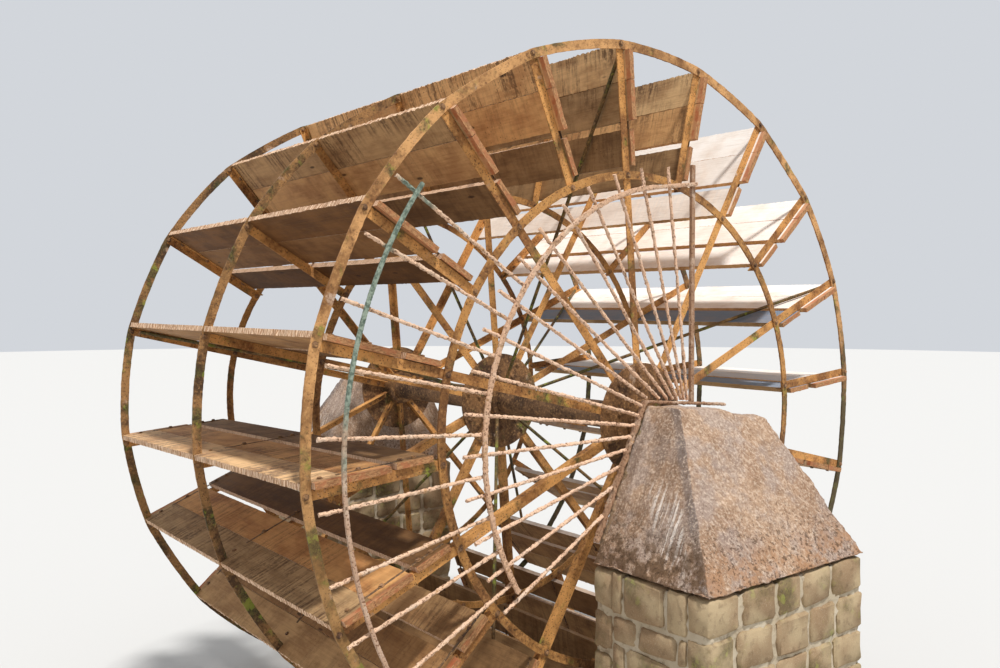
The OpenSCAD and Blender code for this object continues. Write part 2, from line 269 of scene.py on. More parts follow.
def snap_rows(piece, axis, marks):
    """Moves the nearest row of a grid onto each mark."""
    rows = sorted({round(v.co[axis], 5) for v in piece.data.vertices})
    for mark in marks:
        nearest = min(rows, key=lambda row: abs(row - mark))
        for vertex in piece.data.vertices:
            if abs(vertex.co[axis] - nearest) < ROW_SPREAD:
                vertex.co[axis] = mark


def cut_notches(piece, floor, marks):
    """Deletes the faces where the three rims pass: in the middle, and beyond the outer rims."""
    def in_notch(face):
        y = face.center.y
        return face.center.x > floor and (y < marks[0] or marks[1] < y < marks[2] or y > marks[3])

    pick(piece, "FACE", in_notch)
    bpy.ops.mesh.delete(type="FACE")
    finish_edit()


def mark_sides(piece):
    """Remembers at each corner whether its face is the outer edge, an end or the inner edge."""
    mesh = piece.data
    mesh.attributes.new("side", "FLOAT_COLOR", "CORNER")
    values = np.zeros((len(mesh.loops), 4), dtype=np.float32)
    for face in mesh.polygons:
        across, along = face.normal.x, abs(face.normal.y)
        values[list(face.loop_indices)] = (across > 0.9, along > 0.9, across < -0.9, 1)
    mesh.attributes["side"].data.foreach_set("color", values.ravel())


print("helpers for the boards ready")

# %% Blanks for the boards
# Faces across and along a plain board and a notched one
PLAIN_GRID = (3, 170)
NOTCHED_GRID = (4, 520)
# The points of an edge lie closer to it than this, on a board of unit size
EDGE_SPREAD = 0.001


def make_board_blank(name, grid, notched):
    """A board of unit size: +X towards its outer edge, Y along it, and its thickness below Z = 0."""
    across, along = grid
    bpy.ops.mesh.primitive_grid_add(
        x_subdivisions=across, y_subdivisions=along, size=1, location=(0.5, 0, 0)
    )
    blank = new_piece(name)
    if notched:
        low, width, half = BOARDS[2][:3]
        floor = (NOTCH_FLOOR - low) / width
        marks = [y / (2 * half) for y in NOTCH_ROW]
        snap_rows(blank, 0, [floor])
        snap_rows(blank, 1, marks)
        cut_notches(blank, floor, marks)
    edit(blank)
    bpy.ops.mesh.extrude_region_move(TRANSFORM_OT_translate={"value": (0, 0, -1)})
    bpy.ops.mesh.select_all(action="SELECT")
    bpy.ops.mesh.normals_make_consistent(inside=False)
    finish_edit()
    tests = {
        "inner_edge": lambda p: p.x < EDGE_SPREAD,
        "outer_edge": lambda p: p.x > 1 - EDGE_SPREAD,
        "near_end": lambda p: p.y < -0.5 + EDGE_SPREAD,
        "far_end": lambda p: p.y > 0.5 - EDGE_SPREAD,
    }
    for group_name, test in tests.items():
        group = blank.vertex_groups.new(name=group_name)
        group.add([v.index for v in blank.data.vertices if test(v.co)], 1.0, "ADD")
    mark_sides(blank)
    return blank


plain_blank = make_board_blank("plain_blank", PLAIN_GRID, False)
notched_blank = make_board_blank("notched_blank", NOTCHED_GRID, True)
BLANKS = (plain_blank, plain_blank, notched_blank)
print("board blanks:", faces_of(plain_blank, notched_blank), "faces")

# %% [markdown]
# A board's tone is four numbers from 0 to 1: how bleached and lit by painted sunlight, how warm, how
# dark from its wood and from painted shade, and how streaked by water. The paddles at the top left are
# still warm brown, and those at the right are bleached white, with painted sunlight.
# %% Tones of the boards
random.seed(5)
# By paddle, the inner, the second and the outermost board. In each, the first number also carries
# painted sunlight, and the third also carries painted shade.
KNOWN_TONES = {
    1: ((0.0, 0.2, 0.6, 0.5), (0.0, 0.15, 0.42, 0.6), (0.0, 0.3, 0.0, 1.0)),
    20: ((0.0, 0.3, 0.62, 0.6), (0.0, 0.8, 0.1, 0.3), (0.0, 0.6, 0.0, 0.9)),
    19: ((0.0, 0.3, 0.75, 0.5), (0.0, 0.7, 0.25, 0.35), (0.0, 0.4, 0.4, 0.9)),
    18: ((0.0, 0.4, 0.9, 0.5), (0.0, 0.6, 0.75, 0.4), (0.0, 0.6, 0.9, 0.5)),
    2: ((0.0, 0.3, 0.6, 0.6), (0.0, 0.75, 0.2, 0.7), (0.0, 0.3, 0.15, 1.0)),
    3: ((0.8, 0.6, 0.0, 0.5), (0.9, 0.6, 0.1, 0.4), (1.0, 0.75, 0.0, 0.4)),
    4: ((0.95, 0.6, 0.1, 0.1), (0.95, 0.6, 0.1, 0.2), (1.0, 0.7, 0.0, 0.25)),
    5: ((0.9, 0.0, 0.4, 0.1), (0.9, 0.5, 0.1, 0.2), (1.0, 0.7, 0.0, 0.2)),
    6: ((0.9, 0.1, 0.3, 0.1), (0.9, 0.3, 0.1, 0.3), (0.95, 0.45, 0.0, 0.4)),
    16: ((0.0, 0.3, 0.75, 0.7), (0.0, 0.85, 0.3, 0.8), (0.05, 0.45, 0.1, 1.0)),
    15: ((0.0, 0.3, 0.9, 0.7), (0.0, 1.0, 0.3, 0.6), (0.0, 0.2, 0.5, 1.0)),
}
USUAL_WARMTH = (0.3, 0.5, 0.45)
USUAL_DARK_AND_SHADE = (0.6, 0.5, 0.45)


def tones_of(number):
    """The tones of one paddle's three boards. Those not known are drawn, paler to the right: more
    painted sunlight and less painted shade there.
    """
    if number in KNOWN_TONES:
        return KNOWN_TONES[number]
    # How far right the paddle stands: there its boards get painted sunlight and less painted shade
    right = max(0.0, math.sin(arm_angle(number)))
    found = []
    for usual_warmth, usual_dark_and_shade in zip(USUAL_WARMTH, USUAL_DARK_AND_SHADE):
        warm = usual_warmth + random.uniform(-0.2, 0.2)
        dark = usual_dark_and_shade + random.uniform(-0.15, 0.2) - 0.3 * right
        found.append((0.9 * right, warm, dark, random.uniform(0.3, 0.8)))
    return found


print("tones known for", len(KNOWN_TONES), "paddles")

# %% Lay the boards
random.seed(7)
long_waves = cloud("long_waves", 0.7, 1, 1.0)
fray = cloud("fray", 0.014, 2, 1.9)
nibble = cloud("nibble", 0.05, 3, 1.5)
# How deep the weather reaches: at the three boards' outer edges, faces, inner edges and ends
FRAY_DEPTHS = (0.004, 0.003, 0.009)
CUP_DEPTH = 0.004
INNER_WEAR = 0.004
END_WEAR = 0.01


def write_board_attributes(piece, width, offset, tone):
    """Flat coordinates from the outer edge, along and through the board, and the board's tone."""
    mesh = piece.data
    mesh.attributes.new("plank", "FLOAT_VECTOR", "POINT")
    mesh.attributes.new("tone", "FLOAT_COLOR", "POINT")
    places = np.array([v.co for v in mesh.vertices]) + (-width, offset, 0.37 * offset)
    mesh.attributes["plank"].data.foreach_set("vector", places.astype(np.float32).ravel())
    mesh.attributes["tone"].data.foreach_set("color", np.tile(tone, len(places)).astype(np.float32))


def make_board(number, board, blank, fray_depth, tone):
    low, width, half, side, thick = board
    piece = copy_of(blank, "board")
    piece.data.transform(Matrix.Diagonal((width, 2 * half, thick, 1)))
    wander_to(random.uniform(0, 40), random.uniform(0, 40), random.uniform(0, 40))
    write_board_attributes(piece, width, random.uniform(0, 30), tone)
    roughen(piece, long_waves, -CUP_DEPTH, 0.0, "Z", place=wander)
    roughen(piece, fray, -fray_depth, 0.0, "X", "outer_edge", wander)
    roughen(piece, fray, INNER_WEAR, 0.15, "X", "inner_edge", wander)
    roughen(piece, nibble, END_WEAR, 0.0, "Y", "near_end", wander)
    roughen(piece, nibble, -END_WEAR, 0.0, "Y", "far_end", wander)
    stand = Matrix.Translation((side, 0, low)) @ turned(-90, "Y")
    piece.data.transform(arm_place(number) @ slip_skew(number) @ stand)
    return piece


def make_paddle(number):
    """Three boards as one piece, from the inner board outwards."""
    parts = zip(BOARDS, BLANKS, FRAY_DEPTHS, tones_of(number))
    boards = [make_board(number, *part) for part in parts]
    return joined(boards, "boards_%02d" % number)


paddles = {number: make_paddle(number) for number in range(1, PADDLES + 1)}
remove(plain_blank, notched_blank)
for piece in paddles.values():
    smooth_by_angle(piece, 40)
print("paddles:", len(paddles), "with", faces_of(*paddles.values()), "faces")

# %% [markdown]
# Straps and bolts. A thin flat bar lies over the boards at each frame, and bolts go through bar, board
# and the leg of the arm. A bolt is a hexagon with a bevelled top on a round washer, modelled once.
# %% A blank for the bolts
WASHER_R, WASHER_T = 0.016, 0.003
HEAD_R, HEAD_T = 0.0115, 0.008
POINT_TO = {
    "+x": turned(90, "Y"),
    "-x": turned(-90, "Y"),
    "+y": turned(-90, "X"),
    "-y": turned(90, "X"),
}


def rod(name, sides, radius, low, high):
    """A round or many-sided rod on the Z axis, from one height to another."""
    place = (0, 0, (low + high) / 2)
    bpy.ops.mesh.primitive_cylinder_add(vertices=sides, radius=radius, depth=high - low, location=place)
    return new_piece(name)


def bevelled(piece, width):
    modifier = piece.modifiers.new("bevel", "BEVEL")
    modifier.width = width
    modifier.segments = 1
    apply_modifier(piece, modifier)
    return piece


washer = rod("washer", 14, WASHER_R, 0, WASHER_T)
head = bevelled(rod("head", 6, HEAD_R, WASHER_T, WASHER_T + HEAD_T), 0.0018)
bolt_blank = joined([washer, head], "bolt_blank")


def set_bolt(number, point, way, skewed=False):
    """A bolt head at a point of the upright picture of an arm, looking that way."""
    bolt = copy_of(bolt_blank, "bolt")
    spun = Matrix.Rotation(random.uniform(0, 1), 4, "Z")
    skew = slip_skew(number) if skewed else Matrix.Identity(4)
    bolt.data.transform(arm_place(number) @ skew @ Matrix.Translation(point) @ POINT_TO[way] @ spun)
    return bolt


print("bolt blank:", faces_of(bolt_blank), "faces")

# %% Bolt the boards, the rims and the hubs
random.seed(11)
RIM_R = 2.1
RING_R = 1.38
RIM_T = 0.01
HUB_PLATE_T = 0.012
# The bolts and straps stand at the middle of the arm's leg, on its inner side and on the boards
LEG_MIDDLE = 0.027
LEG_IN = ARM_W / 2 - ARM_T
BOARD_FACE = BOARDS[0][3] + BOARDS[0][4]
BOLT_SUNK = 0.0005
STRAP_T = 0.004
STRAP_W = 0.016
STRAP_ENDS = (BOARDS[0][0] + 0.008, 1.93)
# Radii at which the boards and the hubs are bolted
BOARD_BOLTS = (1.52, 1.596, 1.815, 2.01)
HUB_BOLTS = (0.19, 0.28)


def slip_along(number, y):
    """How far the slipped arm stands back at a place along the axle."""
    return SLIP_SLOPE * (y - near_y) if number == SLIPPED_PADDLE else 0.0


def bolts_of(side):
    face, way = FRAMES[side]
    out, into = ("-y", "+y") if way > 0 else ("+y", "-y")
    y = face + way * LEG_MIDDLE
    bolts = []
    for number in range(1, PADDLES + 1):
        for radius in BOARD_BOLTS:
            on_strap = STRAP_ENDS[0] < radius < STRAP_ENDS[1]
            stand = BOARD_FACE + (STRAP_T if on_strap else 0) - BOLT_SUNK
            bolts.append(set_bolt(number, (stand, y, radius), "+x", True))
            bolts.append(set_bolt(number, (LEG_IN - slip_along(number, y), y, radius), "-x"))
        shift = -slip_along(number, face + way * ARM_LEG)
        flat_bars = [(shift, RIM_T, radius) for radius in (RIM_R, RING_R)]
        if number % 2 == 1:
            flat_bars += [(0, HUB_PLATE_T, radius) for radius in HUB_BOLTS]
        for across, thickness, radius in flat_bars:
            bolts.append(set_bolt(number, (across, face - way * thickness, radius), out))
            bolts.append(set_bolt(number, (across, face + way * ARM_T, radius), into))
    return smooth_by_angle(joined(bolts, side + "_bolts"), 35)


bolt_sets = [bolts_of(side) for side in FRAMES]
remove(bolt_blank)
print("bolts:", faces_of(*bolt_sets), "faces")

# %% Lay the straps
def edge_ends(piece, edge):
    return [piece.data.vertices[i].co for i in edge.vertices]


def cut_along(piece, cuts):
    """Cuts the edges that run along Z into short lengths."""
    def runs_along(edge):
        start, end = edge_ends(piece, edge)
        return abs(start.z - end.z) > 0.1

    pick(piece, "EDGE", runs_along)
    bpy.ops.mesh.subdivide(number_cuts=cuts)
    finish_edit()


def make_strap_blank():
    length = STRAP_ENDS[1] - STRAP_ENDS[0]
    bpy.ops.mesh.primitive_cube_add(size=1, location=(0, 0, 0.5))
    strap = new_piece("strap_blank")
    edit(strap)
    bpy.ops.transform.resize(value=(STRAP_T, STRAP_W, length), center_override=(0, 0, 0))
    finish_edit()
    cut_along(strap, 24)
    return bevelled(strap, 0.001)


def straps_of(side, blank):
    face, way = FRAMES[side]
    stand = Matrix.Translation((BOARD_FACE + STRAP_T / 2, face + way * LEG_MIDDLE, STRAP_ENDS[0]))
    straps = []
    for number in range(1, PADDLES + 1):
        strap = copy_of(blank, "strap")
        strap.data.transform(arm_place(number) @ slip_skew(number) @ stand)
        straps.append(strap)
    piece = joined(straps, side + "_straps")
    roughen(piece, small_lumps, 0.0016)
    return piece


strap_blank = make_strap_blank()
strap_sets = [straps_of(side, strap_blank) for side in FRAMES]
remove(strap_blank)
print("straps:", faces_of(*strap_sets), "faces")

# %% [markdown]
# Rims and rings. A flat bar 10 mm thick was bent by hand between the arms, so each rim is a chain of
# flatter and rounder lengths with soft kinks. A small rectangle is spun round the axle, and then each
# point takes the radius that the frame's own rim has at its angle, so that the rough bar follows it.
# %% Spin a flat bar
SPIN_STEPS = 720


def drop_inner_edges(piece, middle, width, depth):
    """Deletes the edges inside a gridded rectangle, so that only its outline is spun."""
    def inside(edge):
        ends = [end - middle for end in edge_ends(piece, edge)]
        on_side = all(abs(abs(end.x) - width / 2) < 1e-5 for end in ends)
        on_face = all(abs(abs(end.y) - depth / 2) < 1e-5 for end in ends)
        return not (on_side or on_face)

    pick(piece, "EDGE", inside)
    bpy.ops.mesh.delete(type="EDGE")
    finish_edit()


def spin_bar(node, radius, width):
    """A flat bar spun to a full circle about the axle, as deep as the frame's own piece."""
    low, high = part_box(node)
    depth = high.y - low.y
    middle = Vector((hub_point.x + radius, (low.y + high.y) / 2, hub_point.z))
    bpy.ops.mesh.primitive_grid_add(x_subdivisions=4, y_subdivisions=2, size=1, location=middle)
    bpy.context.object.scale = (width, depth, 1)
    piece = new_piece(node + "_bar")
    edit(piece)
    bpy.ops.mesh.delete(type="ONLY_FACE")
    finish_edit()
    drop_inner_edges(piece, middle, width, depth)
    edit(piece)
    bpy.ops.mesh.spin(steps=SPIN_STEPS, angle=math.radians(360), center=hub_point, axis=(0, 1, 0))
    bpy.ops.mesh.select_all(action="SELECT")
    bpy.ops.mesh.remove_doubles(threshold=0.0001)
    bpy.ops.mesh.normals_make_consistent(inside=False)
    finish_edit()
    return piece


print("bars are spun in", SPIN_STEPS, "steps")

# %% Rims and rings
RIM_W = 0.05
RING_W = 0.045
# The bar starts this much inside the frame's rim, so that its rust doesn't grow past the rim
CRUST_ROOM = 0.003


def measured_radius(node):
    """Outer radius of the frame's rim at each angle, as two sorted lists."""
    points = np.array([v.co - hub_point for v in nodes[node].data.vertices])
    radius = np.hypot(points[:, 0], points[:, 2])
    outer = radius > RIM_R - 0.01
    angle = np.arctan2(points[outer, 0], points[outer, 2])
    order = np.argsort(angle)
    return angle[order], radius[outer][order]


def follow_rim(piece, node, outer_radius):
    """Moves each point in or out by what the frame's rim differs from a circle at its angle."""
    angles, radii = measured_radius(node)
    for vertex in piece.data.vertices:
        place = vertex.co - hub_point
        radius = np.interp(math.atan2(place.x, place.z), angles, radii, period=2 * math.pi)
        scale = 1 + (radius - outer_radius) / math.hypot(place.x, place.z)
        vertex.co = hub_point + Vector((place.x * scale, place.y, place.z * scale))


def crust_bar(piece):
    """Rust scale and a little lime on a flat bar."""
    roughen(piece, small_lumps, 0.0035, 0.55)
    roughen(piece, fine_lumps, 0.002, 0.55)
    return smooth_by_angle(piece, 60)


def make_rim(side):
    node = side + "_rim"
    piece = spin_bar(node, RIM_R, RIM_W)
    follow_rim(piece, node, RIM_R + RIM_W / 2 + CRUST_ROOM)
    return crust_bar(piece)


rims = {side: make_rim(side) for side in FRAMES}
rings = {side: crust_bar(spin_bar(side + "_ring", RING_R, RING_W)) for side in FRAMES}
print("rims and rings:", faces_of(*rims.values(), *rings.values()), "faces")

# %% [markdown]
# The guard's bars. Lime-laden spray has dried on them for years, so a 22 mm bar looks like a rough
# stalactite, with thin places and lumps. Each bar is a cylinder with many cuts along it. Its two ends
# are measured on the frame's own bars, after splitting those into loose parts.
# %% Ends of the guard's bars
def merged_copy(node, name):
    """A copy of one of the frame's pieces without its tags, its loose triangles merged."""
    piece = copy_of(nodes[node], name)
    for key in list(piece.keys()):
        del piece[key]
    piece.parent = None
    piece.data.materials.clear()
    edit(piece)
    bpy.ops.mesh.remove_doubles(threshold=0.00005)
    finish_edit()
    return piece


def loose_parts(node):
    """The points of each separate solid in a node."""
    edit(merged_copy(node, "loose"))
    bpy.ops.mesh.separate(type="LOOSE")
    finish_edit()
    parts = list(bpy.context.selected_objects)
    found = [np.array([v.co for v in part.data.vertices]) for part in parts]
    remove(*parts)
    return found


def bar_ends(points):
    """The two ends of a round bar's axis."""
    middle = (points.min(axis=0) + points.max(axis=0)) / 2
    spread = points - points.mean(axis=0)
    axis = np.linalg.svd(spread, full_matrices=False)[2][0]
    reach = (points - middle) @ axis
    return Vector(middle + axis * reach.min()), Vector(middle + axis * reach.max())


print("helpers for the bars' ends ready")

# %% Crusted bars
BAR_R = 0.0125
# The crust is modelled this much short of each bar's tips
TIP_ROOM = 0.003
# How many cuts are made along each kind of bar
BAR_CUTS = {"short_bars": 260, "long_bars": 420}
knobs = bpy.data.textures.new("knobs", "VORONOI")
knobs.noise_scale = 0.026


def laid_bar(blank, start, end):
    """A copy of the blank from one tip of a bar to the other, a little short of both."""
    bar = copy_of(blank, "bar")
    end = end - (end - start).normalized() * TIP_ROOM
    start = start + (end - start).normalized() * TIP_ROOM
    run = end - start
    bar.data.transform(Matrix.Diagonal((1, 1, run.length, 1)))
    turn = run.to_track_quat("Z", "Y").to_matrix().to_4x4()
    bar.data.transform(Matrix.Translation(start) @ turn)
    return bar


def make_bars(kind, cuts):
    """All the guard's bars of one kind, with thin places and lumps."""
    blank = rod("bar_blank", 9, BAR_R, 0, 1)
    cut_along(blank, cuts)
    bars = [laid_bar(blank, *bar_ends(points)) for points in loose_parts("guard_" + kind)]
    remove(blank)
    piece = joined(bars, "crusted_" + kind)
    roughen(piece, knobs, -0.005, 0.0)
    roughen(piece, fine_lumps, 0.009, 0.62)
    return smooth_by_angle(piece, 50)


guard = {kind: make_bars(kind, cuts) for kind, cuts in BAR_CUTS.items()}
print("guard bars:", {kind: faces_of(piece) for kind, piece in guard.items()}, "faces")

# %% [markdown]
# The arcs, the rail, the post and the piers have outlines that the frame already holds, so each starts
# as a copy of the frame's piece. The Remesh modifier turns that copy into small even squares, which
# rounds its corners a little, and the cloud textures then give it crust or worn render.
# %% Rough copies of the frame's pieces
IRON_VOXEL = 0.0045
# How high the lumps are on each piece of the guard
GUARD_LUMPS = {"middle_arc": 0.007, "outer_arc": 0.002, "rail": 0.009, "post": 0.0015}


def rough_copy(node, name, voxel, smoothing):
    piece = merged_copy(node, name)
    remesh = piece.modifiers.new("remesh", "REMESH")
    remesh.mode = "VOXEL"
    remesh.voxel_size = voxel
    apply_modifier(piece, remesh)
    smooth = piece.modifiers.new("smooth", "SMOOTH")
    smooth.iterations = smoothing
    smooth.factor = 0.5
    apply_modifier(piece, smooth)
    return piece


def crusted_copy(kind, lumps):
    piece = rough_copy("guard_" + kind, "crusted_" + kind, IRON_VOXEL, 1)
    roughen(piece, small_lumps, lumps)
    roughen(piece, fine_lumps, 0.55 * lumps)
    return smooth_by_angle(piece, 50)


for kind, lumps in GUARD_LUMPS.items():
    guard[kind] = crusted_copy(kind, lumps)
print("the guard's pieces:", list(guard), "with", faces_of(*guard.values()), "faces")

# %% Crumbled mortar under the rail
MORTAR_VOXEL = 0.010
# From the rail to its mortar, and how far below the rail's top the mortar starts
MORTAR_SHIFT = (0.022, -0.016, -0.02)
LEVEL_RUN = 0.1


def rail_mortar():
    """Lumps of mortar between the rail's sloping run and the pier, left out below the level run."""
    piece = rough_copy("guard_rail", "rail_mortar", MORTAR_VOXEL, 2)
    piece.data.transform(Matrix.Translation(MORTAR_SHIFT))
    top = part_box("guard_rail")[1].z - LEVEL_RUN
    pick(piece, "VERT", lambda vertex: vertex.co.z > top)
    bpy.ops.mesh.delete(type="VERT")
    finish_edit()
    roughen(piece, small_lumps, 0.03, 0.45)
    return smooth_by_angle(piece, 60)


crumbs = rail_mortar()
print("mortar:", faces_of(crumbs), "faces")

# %% Worn render on the piers
# The far pier is seen from farther off, so its squares are larger
PIER_VOXELS = {"near": 0.012, "far": 0.016}


def rendered_pier(side, voxel):
    piece = rough_copy(side + "_pier", side + "_pier_render", voxel, 6)
    roughen(piece, broad_lumps, 0.024, 0.75)
    roughen(piece, small_lumps, 0.010, 0.7)
    return smooth_by_angle(piece, 80)


piers = {side: rendered_pier(side, voxel) for side, voxel in PIER_VOXELS.items()}
print("piers:", faces_of(*piers.values()), "faces")

# %% [markdown]
# Below the tapered render stands rubble: squared stones in courses, with lime mortar between them.
# Six rough stones are modelled, and each stone in the wall is a scaled copy of one of them. A core
# just behind their faces is the mortar.
# %% Stones for the rubble
random.seed(23)
STONE_KINDS = 6
stone_lumps = cloud("stone_lumps", 0.45, 3, 1.3)


def make_stone(kind):
    """One rough stone of unit size, its face towards -Y."""
    bpy.ops.mesh.primitive_cube_add(size=1, location=(0, 0.5, 0))
    stone = bevelled(new_piece("stone_%d" % kind), 0.09)
    edit(stone)
    bpy.ops.mesh.subdivide(number_cuts=1)
    finish_edit()
    wander_to(kind * 3.7, kind * 1.9, kind * 5.3)
    roughen(stone, stone_lumps, 0.12, 0.75, place=wander)
    return smooth_by_angle(stone, 50)


stone_kinds = [make_stone(kind) for kind in range(STONE_KINDS)]
print("stone kinds:", faces_of(*stone_kinds), "faces")

# %% Courses of one wall face
COURSES = 8
STONE_LENGTH = 0.27
STONE_DEPTH = 0.14
LEAST_STONE = 0.04
JOINT = 0.014
# Share of its length by which a stone's end may move, and how far its face stands back
UNEVEN = 0.22
SET_BACK = (0.002, 0.008)


def cuts_between(low, high, typical):
    """Uneven cuts from low to high, about typical apart."""
    count = max(1, round((high - low) / typical))
    even = [low + (high - low) * i / count for i in range(count + 1)]
    moved = [cut + random.uniform(-UNEVEN, UNEVEN) * typical for cut in even[1:-1]]
    return [even[0], *moved, even[-1]]


def stone_wall(width, height):
    """The left, right, bottom and top of each stone in one face of the wall."""
    heights = cuts_between(0, height, height / COURSES)
    found = []
    for low, high in zip(heights, heights[1:]):
        places = cuts_between(0, width, STONE_LENGTH)
        found += [(left, right, low, high) for left, right in zip(places, places[1:])]
    return found


def lay_stones(place, width, height, inset):
    """Stones for one face of the wall, none of them closer to its ends than the inset."""
    stones = []
    for left, right, bottom, top in stone_wall(width, height):
        kind = random.choice(stone_kinds)
        back = random.uniform(*SET_BACK)
        left, right = max(left, inset), min(right, width - inset)
        across = right - left - JOINT
        if across >= LEAST_STONE:
            stone = copy_of(kind, "stone")
            middle = Matrix.Translation(((left + right) / 2, back, (bottom + top) / 2))
            scale = Matrix.Diagonal((across, STONE_DEPTH, top - bottom - JOINT, 1))
            stone.data.transform(place @ middle @ scale)
            stones.append(stone)
    return stones


print("each wall face has", COURSES, "courses of stones about", STONE_LENGTH, "m long")

# %% Lay the courses
CORE_VOXEL = 0.03


def rubble_base(side):
    """The stones and the mortar of one pier's base."""
    node = side + "_pier_base"
    low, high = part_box(node)
    size = high - low
    # Each face of the wall: its left-hand corner, its turn, its width and its inset
    faces = (
        (low.x, low.y, 0, size.x, 0),
        (high.x, high.y, 180, size.x, 0),
        (low.x, high.y, -90, size.y, STONE_DEPTH),
        (high.x, low.y, 90, size.y, STONE_DEPTH),
    )
    stones = []
    for x, y, degrees, width, inset in faces:
        place = Matrix.Translation((x, y, low.z)) @ turned(degrees, "Z")
        stones += lay_stones(place, width, size.z, inset)
    core = rough_copy(node, side + "_base_mortar", CORE_VOXEL, 2)
    roughen(core, small_lumps, 0.03, 1.3)
    smooth_by_angle(core, 80)
    return joined(stones, side + "_base_stones"), core


bases = {side: rubble_base(side) for side in piers}
remove(wander, *stone_kinds)
print("rubble:", faces_of(*[stones for stones, core in bases.values()]), "faces of stone")

# %% [markdown]
# Materials. Every finish is procedural and follows Object coordinates, so nothing slides when the
# wheel turns. A colour is written as a screen shows it, from 0 to 255, and becomes the shader's linear
# value where it is set. Most finishes start from one colour and then tint it, patch by patch.
# %% Helpers for nodes
def display(red, green, blue):
    """A colour as a screen shows it, in the shader's linear values."""
    return tuple(((c / 255 + 0.055) / 1.055) ** 2.4 for c in (red, green, blue)) + (1.0,)


def fill(tree, node, inputs):
    """Links or sets a node's inputs."""
    for key, value in inputs.items():
        socket = node.inputs[key]
        if isinstance(value, bpy.types.NodeSocket):
            tree.links.new(value, socket)
        else:
            socket.default_value = display(*value) if socket.type == "RGBA" else value
    return node


def put(tree, kind, inputs=None, **settings):
    """Adds a node, sets it up and fills its inputs."""
    made = tree.nodes.new(kind)
    for key, value in settings.items():
        setattr(made, key, value)
    return fill(tree, made, inputs or {})


def maths(tree, operation, first, second=0.0):
    return put(tree, "ShaderNodeMath", {0: first, 1: second}, operation=operation).outputs[0]


def times(tree, first, second):
    return maths(tree, "MULTIPLY", first, second)


def plus(tree, first, second):
    return maths(tree, "ADD", first, second)


def minus(tree, first, second):
    return maths(tree, "SUBTRACT", first, second)


print("helpers for nodes ready")

# %% Helpers for patterns and colours
def separated(tree, vector):
    """The three parts of a vector."""
    return put(tree, "ShaderNodeSeparateXYZ", {0: vector}).outputs


def stretched(tree, vector, scale):
    return put(tree, "ShaderNodeMapping", {"Vector": vector, "Scale": scale}).outputs[0]


def noise(tree, vector, scale, detail=4.0, roughness=0.55):
    inputs = {"Vector": vector, "Scale": scale, "Detail": detail, "Roughness": roughness}
    return put(tree, "ShaderNodeTexNoise", inputs).outputs[0]


def drawn_noise(tree, vector, scales, detail, roughness):
    """Noise with a scale for each axis, long where the scale is small."""
    return noise(tree, stretched(tree, vector, scales), 1.0, detail, roughness)


def cells(tree, vector, scale, **more):
    """Distance to the nearest of many scattered points."""
    return put(tree, "ShaderNodeTexVoronoi", {"Vector": vector, "Scale": scale, **more}).outputs[0]


def mask(tree, value, low, high):
    """Rises smoothly from 0 at low to 1 at high."""
    inputs = {"Value": value, "From Min": low, "From Max": high}
    return put(tree, "ShaderNodeMapRange", inputs, interpolation_type="SMOOTHSTEP").outputs[0]


def blend(tree, factor, first, second):
    return put(tree, "ShaderNodeMix", {0: factor, 6: first, 7: second}, data_type="RGBA").outputs[2]


def tinted(tree, colour, where, strength, shade):
    """The colour, with a shade over it where the mask says."""
    return blend(tree, times(tree, where, strength), colour, shade)


print("helpers for patterns and colours ready")

# %% Helpers for groups and whole materials
def new_group(name, inputs, outputs):
    """An empty shader group. An input starts at None for a vector, at a value, or at a colour."""
    group = bpy.data.node_groups.new(name, "ShaderNodeTree")
    for socket, start in inputs.items():
        kind = "Vector" if start is None else "Color" if isinstance(start, tuple) else "Float"
        made = group.interface.new_socket(name=socket, in_out="INPUT", socket_type="NodeSocket" + kind)
        if start is not None:
            made.default_value = display(*start) if kind == "Color" else start
    for socket in outputs:
        kind = "Color" if socket == "Colour" else "Float"
        group.interface.new_socket(name=socket, in_out="OUTPUT", socket_type="NodeSocket" + kind)
    return group, group.nodes.new("NodeGroupInput").outputs, group.nodes.new("NodeGroupOutput")


def use(tree, group, **inputs):
    """Places a group in a tree and returns its outputs."""
    return put(tree, "ShaderNodeGroup", inputs, node_tree=group).outputs


def new_material(name):
    material = bpy.data.materials.new(name)
    material.use_nodes = True
    tree = material.node_tree
    coordinates = tree.nodes.new("ShaderNodeTexCoord").outputs
    return material, tree, tree.nodes["Principled BSDF"], coordinates


def surface(tree, shader, colour, roughness, height, depth, strength, gloss):
    """Gives a shader its colour, roughness = (value, share of it, least), relief and gloss."""
    value, share, least = roughness
    relief = {"Height": height, "Distance": depth, "Strength": strength}
    fill(tree, shader, {
        "Base Color": colour,
        "Roughness": plus(tree, times(tree, value, share), least),
        "Normal": put(tree, "ShaderNodeBump", relief).outputs[0],
        "Specular IOR Level": gloss,
    })


print("helpers for groups and whole materials ready")

# %% [markdown]
# Rust, lime, moss and blotches appear on many pieces, so each is a node group with named inputs, and
# every material places it with values of its own. A group gives out only colours, masks and heights.
# %% Shared effects: blotches and rust
def make_blotches():
    group, given, result = new_group(
        "blotches", {"Vector": None, "Scale": 4.0, "Cover": 0.5, "Softness": 0.1}, ("Mask",)
    )
    lumps = noise(group, given["Vector"], given["Scale"], 6, 0.6)
    middle = minus(group, 0.72, times(group, given["Cover"], 0.44))
    low = minus(group, middle, given["Softness"])
    high = plus(group, middle, given["Softness"])
    fill(group, result, {"Mask": mask(group, lumps, low, high)})
    return group


